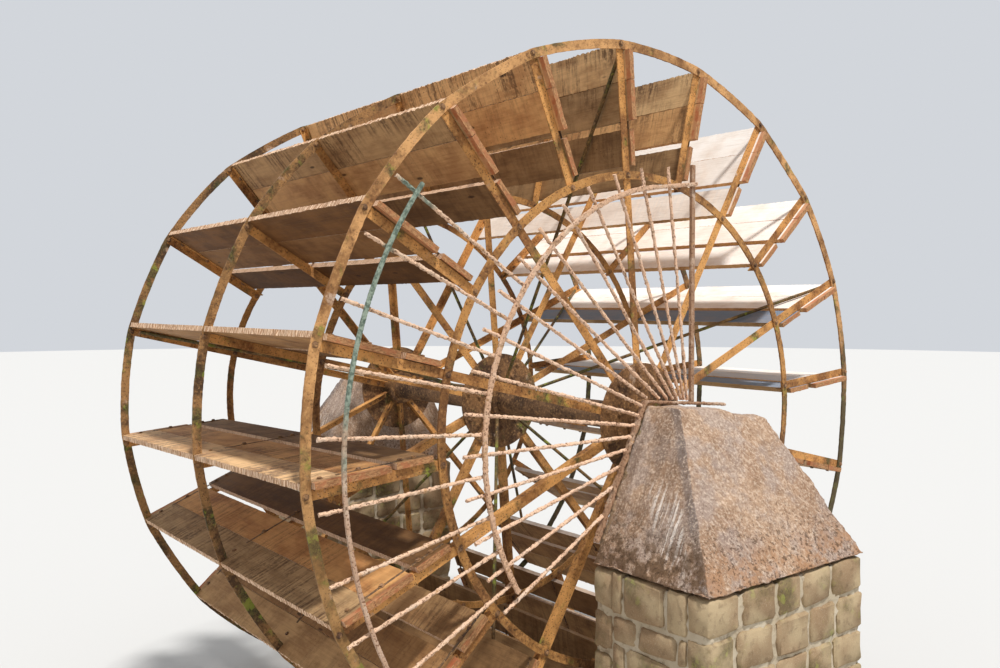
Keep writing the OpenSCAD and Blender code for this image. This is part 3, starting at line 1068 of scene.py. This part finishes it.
def make_rust():
    group, given, result = new_group(
        "rust",
        {"Vector": None, "Dark": (96, 64, 38), "Light": (186, 136, 80), "Flakes": 0.5},
        ("Colour", "Height"),
    )
    place = given["Vector"]
    broad = noise(group, place, 5, 6, 0.6)
    fine = noise(group, place, 60, 6, 0.65)
    grit = noise(group, place, 260, 3, 0.6)
    spots = cells(group, place, 75.0, Randomness=0.95)
    pits = times(group, mask(group, spots, 0.3, 0.16), mask(group, broad, 0.4, 0.55))
    flakes = times(group, mask(group, fine, 0.44, 0.38), mask(group, broad, 0.56, 0.46))
    colour = blend(group, mask(group, broad, 0.36, 0.6), given["Dark"], given["Light"])
    colour = tinted(group, colour, mask(group, fine, 0.5, 0.7), 0.45, (214, 164, 104))
    colour = tinted(group, colour, mask(group, fine, 0.48, 0.3), 0.55, given["Dark"])
    colour = tinted(group, colour, flakes, given["Flakes"], (72, 46, 26))
    colour = tinted(group, colour, pits, given["Flakes"], (62, 40, 24))
    height = minus(group, plus(group, fine, times(group, grit, 0.35)), times(group, pits, 0.5))
    fill(group, result, {"Colour": colour, "Height": height})
    return group


blotches = make_blotches()
rust = make_rust()


def patches(tree, place, scale, cover, softness):
    """Places the blotches, 1 inside them and 0 between them."""
    return use(tree, blotches, Vector=place, Scale=scale, Cover=cover, Softness=softness)["Mask"]


print("groups:", blotches.name, rust.name)

# %% Shared effects: lime, moss and looking up
def make_lime():
    group, given, result = new_group(
        "lime_crust", {"Vector": None, "Tint": (190, 158, 132)}, ("Colour", "Height")
    )
    place = given["Vector"]
    broad = noise(group, place, 11, 5, 0.6)
    knobs = noise(group, place, 90, 5, 0.6)
    grains = noise(group, place, 330, 3, 0.6)
    colour = tinted(group, given["Tint"], mask(group, broad, 0.48, 0.68), 0.6, (222, 202, 180))
    # Dark brown in the low places of the knobs and the grains: partly dark pits, partly painted shade
    # in the hollows
    colour = tinted(group, colour, mask(group, knobs, 0.46, 0.38), 0.9, (104, 66, 42))
    colour = tinted(group, colour, mask(group, grains, 0.55, 0.4), 0.35, (150, 118, 92))
    fill(group, result, {"Colour": colour, "Height": plus(group, knobs, times(group, grains, 0.4))})
    return group


def make_moss():
    group, given, result = new_group("moss", {"Vector": None}, ("Colour", "Height"))
    place = given["Vector"]
    tufts = noise(group, place, 70, 5, 0.7)
    fine = noise(group, place, 240, 3, 0.6)
    vivid = noise(group, place, 17, 4, 0.6)
    colour = blend(group, mask(group, tufts, 0.4, 0.62), (44, 42, 26), (98, 92, 48))
    colour = tinted(group, colour, mask(group, fine, 0.52, 0.66), 0.5, (134, 130, 56))
    colour = tinted(group, colour, mask(group, vivid, 0.55, 0.6), 0.75, (138, 152, 52))
    fill(group, result, {"Colour": colour, "Height": plus(group, tufts, times(group, fine, 0.5))})
    return group


def make_upward():
    """How far a surface looks up, by the normal that stays with the piece."""
    group, given, result = new_group("upward", {"Normal": None, "Low": 0.0, "High": 0.7}, ("Mask",))
    up = separated(group, given["Normal"])[2]
    fill(group, result, {"Mask": mask(group, up, given["Low"], given["High"])})
    return group


lime = make_lime()
moss = make_moss()
upward = make_upward()
print("groups:", lime.name, moss.name, upward.name)

# %% [markdown]
# The boards' wood. Grain runs along each board, so it reads the flat coordinates that each board
# keeps. The group gives plain values, and the material makes colours of them by the board's tone. Over
# the grain lie dark streaks that water drew across the board, a few knots and spots of mould, and a
# bleached skin with painted sunlight on the faces that look up. The sawn outer edges are pale with
# painted sunlight, and the ends are brown.
# %% Grain of the boards
def drawn_streaks(group, plank, where):
    """Dark streaks across the board, ragged, and more of them near its outer edge."""
    ragged = noise(group, plank, 45, 4, 0.65)
    lines = drawn_noise(group, plank, (2.2, 34, 2.2), 7, 0.75)
    near_edge = mask(group, separated(group, plank)[0], -0.14, 0.0)
    wet = plus(group, mask(group, where, 0.38, 0.6), times(group, near_edge, 0.5))
    streaks = times(group, mask(group, lines, 0.44, 0.6), wet)
    streaks = times(group, streaks, mask(group, ragged, 0.3, 0.56))
    return put(group, "ShaderNodeClamp", {0: streaks}).outputs[0]


def knots_and_mould(group, plank, where):
    knots = cells(group, stretched(group, plank, (8, 2.4, 8)), 1.0)
    spots = mask(group, cells(group, plank, 42.0), 0.2, 0.1)
    mould = times(group, spots, mask(group, where, 0.52, 0.6))
    return maths(group, "MAXIMUM", mask(group, knots, 0.09, 0.045), times(group, mould, 0.8))


def make_grain():
    group, given, result = new_group(
        "sawn_grain", {"Plank": None}, ("Depth", "Height", "Streaks", "Spots")
    )
    plank = given["Plank"]
    bands = drawn_noise(group, plank, (14, 0.7, 14), 3, 0.5)
    rings = maths(group, "SINE", times(group, bands, 48))
    fibres = drawn_noise(group, plank, (380, 6, 380), 4, 0.6)
    mottle = drawn_noise(group, plank, (7, 3.5, 7), 6, 0.62)
    where = drawn_noise(group, plank, (2, 3, 2), 3, 0.6)
    depth = times(group, mask(group, rings, -0.7, 1.0), 0.14)
    depth = plus(group, depth, times(group, mask(group, mottle, 0.4, 0.64), 0.6))
    depth = plus(group, depth, times(group, mask(group, fibres, 0.5, 0.72), 0.24))
    fill(group, result, {
        "Depth": depth,
        "Height": minus(group, fibres, times(group, mask(group, rings, 0.2, 1.0), 0.3)),
        "Streaks": drawn_streaks(group, plank, where),
        "Spots": knots_and_mould(group, plank, where),
    })
    return group


grain = make_grain()
print("group:", grain.name)

# %% Colours of the boards
def board_skin(tree, wood, tone, streaky):
    """Colour of a board's faces from its grain and its tone, before the weather."""
    neutral = blend(tree, wood["Depth"], (222, 190, 142), (150, 118, 80))
    warm = blend(tree, wood["Depth"], (234, 176, 112), (180, 118, 68))
    # Brown of dark wood, which also stands in for painted shade on the paddles at the left
    dark_and_shaded = blend(tree, wood["Depth"], (106, 68, 32), (60, 38, 18))
    colour = blend(tree, tone[1], neutral, warm)
    colour = blend(tree, tone[2], colour, dark_and_shaded)
    colour = tinted(tree, colour, times(tree, wood["Streaks"], streaky), 0.85, (84, 58, 38))
    return tinted(tree, colour, wood["Spots"], 0.8, (58, 40, 28))


def overhang_stain(tree, place, past, colour):
    """Past the outer rims the boards are a reddish tan, with patches of brighter red."""
    stain = blend(tree, patches(tree, place, 16.0, 0.45, 0.08), (180, 128, 90), (164, 90, 56))
    return tinted(tree, colour, past, 0.8, stain)


def bleached_and_sunlit_tops(tree, wood, plank, tone, normal, past, colour):
    """Faces that look up turn white, bleached and lit by painted sunlight; where the board was never
    warm they turn blue-grey instead, painted shade under the sky. Past the outer rims almost none of it
    is painted.
    """
    up = use(tree, upward, Normal=normal, Low=0.1, High=0.45)["Mask"]
    worn = patches(tree, plank, 4.0, 0.85, 0.2)
    # Blue-grey is painted shade under the blue sky, white is bleached wood with painted sunlight
    skin = blend(tree, mask(tree, tone[1], 0.05, 0.55), (92, 122, 150), (250, 244, 236))
    skin = tinted(tree, skin, mask(tree, wood["Height"], 0.45, 0.75), 0.4, (164, 142, 118))
    skin = tinted(tree, skin, wood["Depth"], 0.35, (196, 166, 134))
    # How much of the skin each place gets: bleaching and painted sunlight on the faces that look up
    grey = times(tree, times(tree, up, tone[0]), plus(tree, times(tree, worn, 0.4), 0.6))
    grey = times(tree, grey, minus(tree, 1.0, times(tree, past, 0.95)))
    return blend(tree, grey, colour, skin)


def sunlit_edges_and_ends(tree, plank, sides, colour):
    """Outer edges pale with painted sunlight, with marks of the saw, and brown ends."""
    along = separated(tree, plank)[1]
    wobble = noise(tree, plank, 24, 3)
    teeth = maths(tree, "SINE", plus(tree, times(tree, along, 480), times(tree, wobble, 9)))
    # The outer edges' pale colour is painted sunlight, with the saw's marks drawn into it
    sunlit_edge = blend(tree, mask(tree, teeth, -0.5, 0.8), (236, 204, 172), (164, 118, 84))
    sunlit_edge = tinted(tree, sunlit_edge, mask(tree, wobble, 0.5, 0.66), 0.5, (132, 92, 62))
    colour = tinted(tree, colour, sides[0], 0.85, sunlit_edge)
    rings = drawn_noise(tree, plank, (60, 8, 160), 4, 0.6)
    ends = blend(tree, mask(tree, rings, 0.4, 0.6), (136, 96, 62), (184, 138, 94))
    ends = tinted(tree, ends, mask(tree, wobble, 0.5, 0.62), 0.7, (166, 102, 66))
    return tinted(tree, colour, sides[1], 0.85, ends)


print("the boards' colours ready")

# %% Wood of the boards
# Distances along the axle from the wheel's middle between which a board's overhang begins
OVERHANG = (1.306, 1.318)


def make_wood():
    material, tree, shader, coordinates = new_material("weathered_boards")
    place = coordinates["Object"]
    plank = put(tree, "ShaderNodeAttribute", attribute_name="plank").outputs["Vector"]
    toned = put(tree, "ShaderNodeAttribute", attribute_name="tone").outputs
    side = put(tree, "ShaderNodeAttribute", attribute_name="side").outputs["Color"]
    tone = put(tree, "ShaderNodeSeparateColor", {0: toned["Color"]}).outputs
    sides = put(tree, "ShaderNodeSeparateColor", {0: side}).outputs
    wood = use(tree, grain, Plank=plank)
    past = mask(tree, maths(tree, "ABSOLUTE", separated(tree, place)[1]), *OVERHANG)
    colour = board_skin(tree, wood, tone, toned["Alpha"])
    colour = overhang_stain(tree, place, past, colour)
    colour = bleached_and_sunlit_tops(tree, wood, plank, tone, coordinates["Normal"], past, colour)
    colour = sunlit_edges_and_ends(tree, plank, sides, colour)
    surface(tree, shader, colour, (wood["Height"], 0.2, 0.68), wood["Height"], 0.0014, 0.6, 0.25)
    return material


wood_material = make_wood()
print("material:", wood_material.name)

# %% [markdown]
# Iron. The rims and arms carry ochre rust with lime and moss in patches, and the right side of the
# wheel is mossier and darker with painted shade. The hubs and the axle are darker and have little lime.
# %% Irons
# Each iron's light and dark rust, its cover of lime and of moss, how much more moss and painted shade
# the damp right side has, how strong the dark flakes are, and how much more moss and darker brown
# there is low on the wheel
IRONS = {
    "rim_iron": ((206, 154, 98), (132, 90, 50), 0.1, 0.24, 0.42, 0.45, 0.26),
    "shaded_iron": ((160, 118, 72), (76, 54, 34), 0.12, 0.36, 0.3),
    "ring_iron": ((184, 132, 72), (116, 76, 40), 0.05, 0.16, 0.3),
    "arm_iron": ((208, 150, 84), (132, 86, 44), 0.05, 0.24),
    "stay_iron": ((122, 94, 54), (66, 50, 30), 0.02, 0.5),
    "axle_iron": ((126, 92, 62), (64, 44, 30), 0.06, 0.12),
    "hub_iron": ((132, 94, 58), (66, 44, 28), 0.06, 0.2),
    "bolt_iron": ((150, 112, 76), (84, 58, 40), 0.1, 0.1),
    "strap_iron": ((110, 84, 60), (62, 48, 36), 0.04, 0.05),
    "bearing_iron": ((96, 66, 44), (48, 32, 24), 0.05, 0.1),
}
# Heights over the bed between which the moss and the darker brown low on the wheel grow to their full
LOW_ON_WHEEL = (2.7, 1.5)


def make_iron(name, light, dark, lime_cover, moss_cover, damp_and_shaded_side=0.0, flakes=0.8, low_moss_and_brown_tint=0.0):
    material, tree, shader, coordinates = new_material(name)
    place = coordinates["Object"]
    base = use(tree, rust, Vector=place, Light=light, Dark=dark, Flakes=flakes)
    crust = use(tree, lime, Vector=place)
    green = use(tree, moss, Vector=place)
    limed = patches(tree, place, 9.0, lime_cover, 0.06)
    cover = moss_cover
    if damp_and_shaded_side:
        parts = separated(tree, place)
        # The wheel's right side: more moss, and painted shade
        damp = mask(tree, minus(tree, parts[0], times(tree, parts[2], 0.8)), -0.6, 0.7)
        low = mask(tree, parts[2], *LOW_ON_WHEEL)
        cover = plus(tree, times(tree, damp, damp_and_shaded_side), cover)
        cover = plus(tree, times(tree, low, low_moss_and_brown_tint), cover)
    mossy = patches(tree, place, 6.0, cover, 0.07)
    colour = blend(tree, limed, base["Colour"], crust["Colour"])
    colour = tinted(tree, colour, mossy, 0.85, green["Colour"])
    if damp_and_shaded_side:
        # Low on the wheel the colour is tinted a darker brown
        colour = tinted(tree, colour, low, 1.6 * low_moss_and_brown_tint, (120, 96, 54))
        # Painted shade over the wheel's right side
        colour = tinted(tree, colour, damp, 0.75, (62, 52, 32))
    height = plus(tree, base["Height"], times(tree, limed, crust["Height"]))
    height = plus(tree, height, times(tree, mossy, green["Height"]))
    surface(tree, shader, colour, (base["Height"], 0.15, 0.62), height, 0.003, 0.8, 0.35)
    return material


irons = {name: make_iron(name, *values) for name, values in IRONS.items()}
print("irons:", *irons)

# %% Crust over old paint on the guard
# Each crust's tint, and the heights over the bed where old green paint starts to show and shows fully
UNPAINTED = (9.0, 9.5)
CRUSTS = {
    "bar_crust": ((228, 188, 156), UNPAINTED),
    "arc_crust": ((206, 166, 134), UNPAINTED),
    "outer_arc_crust": ((186, 152, 126), (2.0, 2.5)),
    "long_bar_crust": ((222, 184, 152), (3.2, 3.4)),
    "rail_crust": ((158, 122, 94), UNPAINTED),
}


def make_crust(name, tint, paint_heights):
    """Lime crust with rusty hollows, and old green paint in its upper part."""
    material, tree, shader, coordinates = new_material(name)
    place = coordinates["Object"]
    crust = use(tree, lime, Vector=place, Tint=tint)
    base = use(tree, rust, Vector=place)
    bare = patches(tree, place, 22.0, 0.2, 0.05)
    ragged = times(tree, minus(tree, noise(tree, place, 7, 5), 0.5), 1.2)
    painted = mask(tree, plus(tree, separated(tree, place)[2], ragged), *paint_heights)
    faded = mask(tree, noise(tree, place, 55, 5, 0.6), 0.4, 0.6)
    green = blend(tree, faded, (74, 96, 84), (136, 152, 136))
    colour = tinted(tree, crust["Colour"], bare, 0.7, base["Colour"])
    colour = tinted(tree, colour, painted, 0.92, green)
    height = minus(tree, crust["Height"], times(tree, bare, 0.4))
    surface(tree, shader, colour, (crust["Height"], 0.12, 0.7), height, 0.004, 0.8, 0.3)
    return material


crusts = {name: make_crust(name, *values) for name, values in CRUSTS.items()}
print("the guard's crusts:", *crusts)

# %% [markdown]
# Masonry. The render is a beige-brown lime coat with grit, pale speckles, white runs of lime down the
# left side and a damp dark foot. Where a mark lies depends on its height and on how far it is from
# the slanting front edge, and both are measured on the pier itself.
# %% The coat of render
def coat(tree, place, middle):
    """The coat's own colours, with slanting marks of the trowel and grey smudges."""
    broad = noise(tree, place, 2.4, 5, 0.6)
    colour = blend(tree, mask(tree, broad, 0.4, 0.62), (160, 128, 102), (186, 154, 126))
    colour = tinted(tree, colour, mask(tree, middle, 0.5, 0.66), 0.5, (128, 98, 74))
    lean = {"Vector": place, "Rotation": (0, -0.5, 0), "Scale": (0.016, 0.016, 0.09)}
    leaning = put(tree, "ShaderNodeMapping", lean, vector_type="TEXTURE").outputs[0]
    trowel = noise(tree, leaning, 1.0, 5, 0.65)
    colour = tinted(tree, colour, mask(tree, trowel, 0.52, 0.62), 0.5, (222, 198, 174))
    colour = tinted(tree, colour, mask(tree, trowel, 0.46, 0.36), 0.4, (134, 104, 80))
    return tinted(tree, colour, patches(tree, place, 5.0, 0.5, 0.08), 0.4, (158, 150, 148))


print("the coat's colours ready")

# %% Marks on the render
FRONT_SLOPE = 0.66
PIER_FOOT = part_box("near_pier")[0]
# Heights over the bed, each as where a mark starts to show and where it is full
RUNS_TOP, RUNS_FOOT = (2.05, 1.9), (1.6, 1.7)
WARM_FOOT, DAMP_FOOT, PITTED_FOOT = (1.8, 1.62), (1.9, 1.66), (1.96, 1.7)
# Distances from the slanting edge, in the same way
STRIP = (0.09, 0.05)
RUNS_FROM, RUNS_TO = (0.09, 0.12), (0.33, 0.26)


def edge_distance(tree, place):
    """Distance along Y from the slanting front edge of either pier, the same on both."""
    parts = separated(tree, place)
    rise = times(tree, minus(tree, parts[2], PIER_FOOT.z), FRONT_SLOPE)
    back = times(tree, maths(tree, "ABSOLUTE", parts[1]), -1.0)
    return minus(tree, minus(tree, back, PIER_FOOT.y), rise)


def water_marks(tree, place, left, height_up, grit, colour):
    """On the left side: brown stains, white runs, and a grey strip along the slanting edge."""
    stains = mask(tree, drawn_noise(tree, place, (2, 11, 2), 5, 0.6), 0.46, 0.6)
    colour = tinted(tree, colour, times(tree, left, stains), 0.55, (126, 102, 84))
    across = edge_distance(tree, place)
    runs = mask(tree, drawn_noise(tree, place, (1.2, 62, 1.2), 4, 0.6), 0.5, 0.57)
    runs = times(tree, times(tree, runs, left), mask(tree, grit, 0.36, 0.46))
    for value, limits in (
        (across, RUNS_FROM), (across, RUNS_TO), (height_up, RUNS_TOP), (height_up, RUNS_FOOT)
    ):
        runs = times(tree, runs, mask(tree, value, *limits))
    colour = tinted(tree, colour, runs, 0.9, (236, 224, 212))
    strip = times(tree, mask(tree, across, *STRIP), left)
    return tinted(tree, colour, strip, 0.6, (112, 102, 98))


def foot_marks(tree, place, left, height_up, middle, colour):
    """At the foot: warmer patches, a dark damp left side, and pits."""
    low = times(tree, mask(tree, height_up, *WARM_FOOT), mask(tree, middle, 0.42, 0.56))
    colour = tinted(tree, colour, low, 0.7, (172, 128, 92))
    damp = times(tree, left, mask(tree, height_up, *DAMP_FOOT))
    damp = times(tree, damp, mask(tree, middle, 0.4, 0.56))
    colour = tinted(tree, colour, damp, 0.8, (84, 66, 48))
    hollows = mask(tree, noise(tree, place, 48, 5, 0.7), 0.47, 0.4)
    pits = times(tree, mask(tree, height_up, *PITTED_FOOT), hollows)
    return tinted(tree, colour, pits, 0.75, (78, 58, 42))


print("the taper starts", round(PIER_FOOT.z, 3), "m over the bed")

# %% Render and rubble
# Each stone finish's two colours and its cover of moss
STONES = {
    "rubble_stone": ((150, 124, 94), (178, 156, 122), 0.3),
    "crumbled_mortar": ((120, 96, 72), (158, 130, 102), 0.35),
    "lime_mortar": ((182, 166, 140), (198, 184, 160), 0.15),
}


def make_render():
    material, tree, shader, coordinates = new_material("pier_render")
    place = coordinates["Object"]
    middle = noise(tree, place, 13, 6, 0.7)
    grit = noise(tree, place, 75, 6, 0.75)
    sand = noise(tree, place, 190, 3, 0.7)
    height_up = separated(tree, place)[2]
    facing = separated(tree, coordinates["Normal"])[0]
    colour = coat(tree, place, middle)
    colour = water_marks(tree, place, mask(tree, facing, -0.35, -0.75), height_up, grit, colour)
    colour = tinted(tree, colour, mask(tree, grit, 0.53, 0.61), 0.6, (222, 200, 178))
    colour = tinted(tree, colour, mask(tree, grit, 0.45, 0.38), 0.7, (116, 90, 68))
    colour = foot_marks(tree, place, mask(tree, facing, -0.5, -0.8), height_up, middle, colour)
    height = plus(tree, grit, times(tree, sand, 0.5))
    height = plus(tree, height, times(tree, middle, 0.6))
    surface(tree, shader, colour, (grit, 0.12, 0.78), height, 0.009, 0.9, 0.2)
    return material


def make_stone_finish(name, first, second, moss_cover):
    material, tree, shader, coordinates = new_material(name)
    place = coordinates["Object"]
    stone = noise(tree, place, 4.5, 2, 0.5)
    middle = noise(tree, place, 26, 6, 0.6)
    grit = noise(tree, place, 180, 4, 0.7)
    green = use(tree, moss, Vector=place)["Colour"]
    colour = blend(tree, mask(tree, stone, 0.36, 0.62), first, second)
    colour = tinted(tree, colour, mask(tree, middle, 0.5, 0.7), 0.5, (112, 90, 66))
    colour = tinted(tree, colour, mask(tree, grit, 0.55, 0.7), 0.5, (208, 190, 162))
    colour = tinted(tree, colour, patches(tree, place, 3.0, moss_cover, 0.1), 0.7, green)
    height = plus(tree, middle, times(tree, grit, 0.5))
    surface(tree, shader, colour, (grit, 0.12, 0.76), height, 0.006, 0.8, 0.2)
    return material


render_finish = make_render()
stones = {name: make_stone_finish(name, *values) for name, values in STONES.items()}
print("masonry:", render_finish.name, *stones)

# %% [markdown]
# Each piece now gets its finish and its body, and the frame's pieces that a new piece stands for are
# hidden. The wheel's pieces ride on the wheel, the rest on the stand.
# %% Finish every piece
GUARD_FINISHES = {
    "short_bars": "bar_crust", "long_bars": "long_bar_crust", "middle_arc": "arc_crust",
    "outer_arc": "outer_arc_crust", "rail": "rail_crust", "post": "rail_crust",
}


def dress(piece, material, body, slot, *replaced):
    piece.data.materials.clear()
    piece.data.materials.append(material)
    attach(piece, body)
    if replaced:
        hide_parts(*replaced)


def repaint(node, material):
    """Gives one of the frame's own pieces a finish."""
    mesh = nodes[node].data
    mesh.materials.clear()
    mesh.materials.append(material)


for number, piece in paddles.items():
    dress(piece, wood_material, "wheel", "boards", "paddle_%02d" % number)
for side, bolts, straps in zip(FRAMES, bolt_sets, strap_sets):
    rim_finish = irons["rim_iron" if side == "near" else "shaded_iron"]
    dress(bolts, irons["bolt_iron"], "wheel", "rusty_iron")
    dress(straps, irons["strap_iron"], "wheel", "rusty_iron")
    dress(rims[side], rim_finish, "wheel", "rusty_iron", side + "_rim")
    dress(rings[side], irons["ring_iron"], "wheel", "rusty_iron", side + "_ring")
    repaint(side + "_arms", irons["arm_iron"])
    repaint(side + "_hub", irons["hub_iron"])
repaint("axle", irons["axle_iron"])
for kind, finish in GUARD_FINISHES.items():
    dress(guard[kind], crusts[finish], "stand", "guard_iron", "guard_" + kind)
dress(crumbs, stones["crumbled_mortar"], "stand", "render")
for side, (base_stones, base_mortar) in bases.items():
    repaint(side + "_stays", irons["stay_iron"])
    repaint(side + "_bearing", irons["bearing_iron"])
    dress(piers[side], render_finish, "stand", "render", side + "_pier")
    dress(base_stones, stones["rubble_stone"], "stand", "rubble", side + "_pier_base")
    dress(base_mortar, stones["lime_mortar"], "stand", "rubble")
print("pieces dressed")

# %% [markdown]
# The picture. The camera stands where the photographer stood, a little left of the near pier and at
# eye height over the street. A pale floor and a pale sky give soft light from all round, and one soft
# lamp from the upper right gives the boards' tops their light and their undersides their shade.
# %% Camera
CAMERA_PLACE = (-3.856, -4.925, 2.896)
CAMERA_TURN = (88.24, 0.0, -38.2)
LENS = 33.12
bpy.ops.object.camera_add(location=CAMERA_PLACE, rotation=[math.radians(a) for a in CAMERA_TURN])
camera = bpy.context.object
camera.name = "camera"
camera.data.lens = LENS
camera.data.sensor_width = 36
camera.data.clip_end = 500
bpy.context.scene.camera = camera
print("camera at", CAMERA_PLACE, "turned", CAMERA_TURN, "with a", LENS, "mm lens")

# %% Floor and light
TOWARDS_LAMP = Vector((-0.08, -0.62, 1.4))
bpy.ops.mesh.primitive_circle_add(vertices=96, radius=60, fill_type="NGON", location=(0, 0, 0))
floor = new_piece("floor")
floor_material, floor_tree, floor_shader = new_material("pale_floor")[:3]
fill(floor_tree, floor_shader, {"Base Color": (196, 194, 190), "Roughness": 0.9})
floor.data.materials.append(floor_material)

bpy.ops.object.light_add(type="SUN", rotation=TOWARDS_LAMP.to_track_quat("Z", "Y").to_euler())
lamp = bpy.context.object
lamp.name = "key"
lamp.data.energy = 3.5
lamp.data.angle = math.radians(5)

world = bpy.data.worlds.new("pale_sky")
bpy.context.scene.world = world
world.use_nodes = True
sky = world.node_tree.nodes["Background"]
fill(world.node_tree, sky, {"Color": (232, 236, 242), "Strength": 0.8})
bpy.context.scene.view_settings.view_transform = "Standard"
print("floor and light ready")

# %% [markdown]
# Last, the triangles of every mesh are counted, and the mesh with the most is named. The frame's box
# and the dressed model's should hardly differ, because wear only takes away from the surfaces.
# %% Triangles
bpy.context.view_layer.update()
meshes = [piece for piece in bpy.data.objects if piece.type == "MESH"]
triangles = {piece.name: sum(len(p.vertices) - 2 for p in piece.data.polygons) for piece in meshes}
largest = max(triangles, key=triangles.get)
print("triangles:", sum(triangles.values()), "in all, most in", largest, triangles[largest])
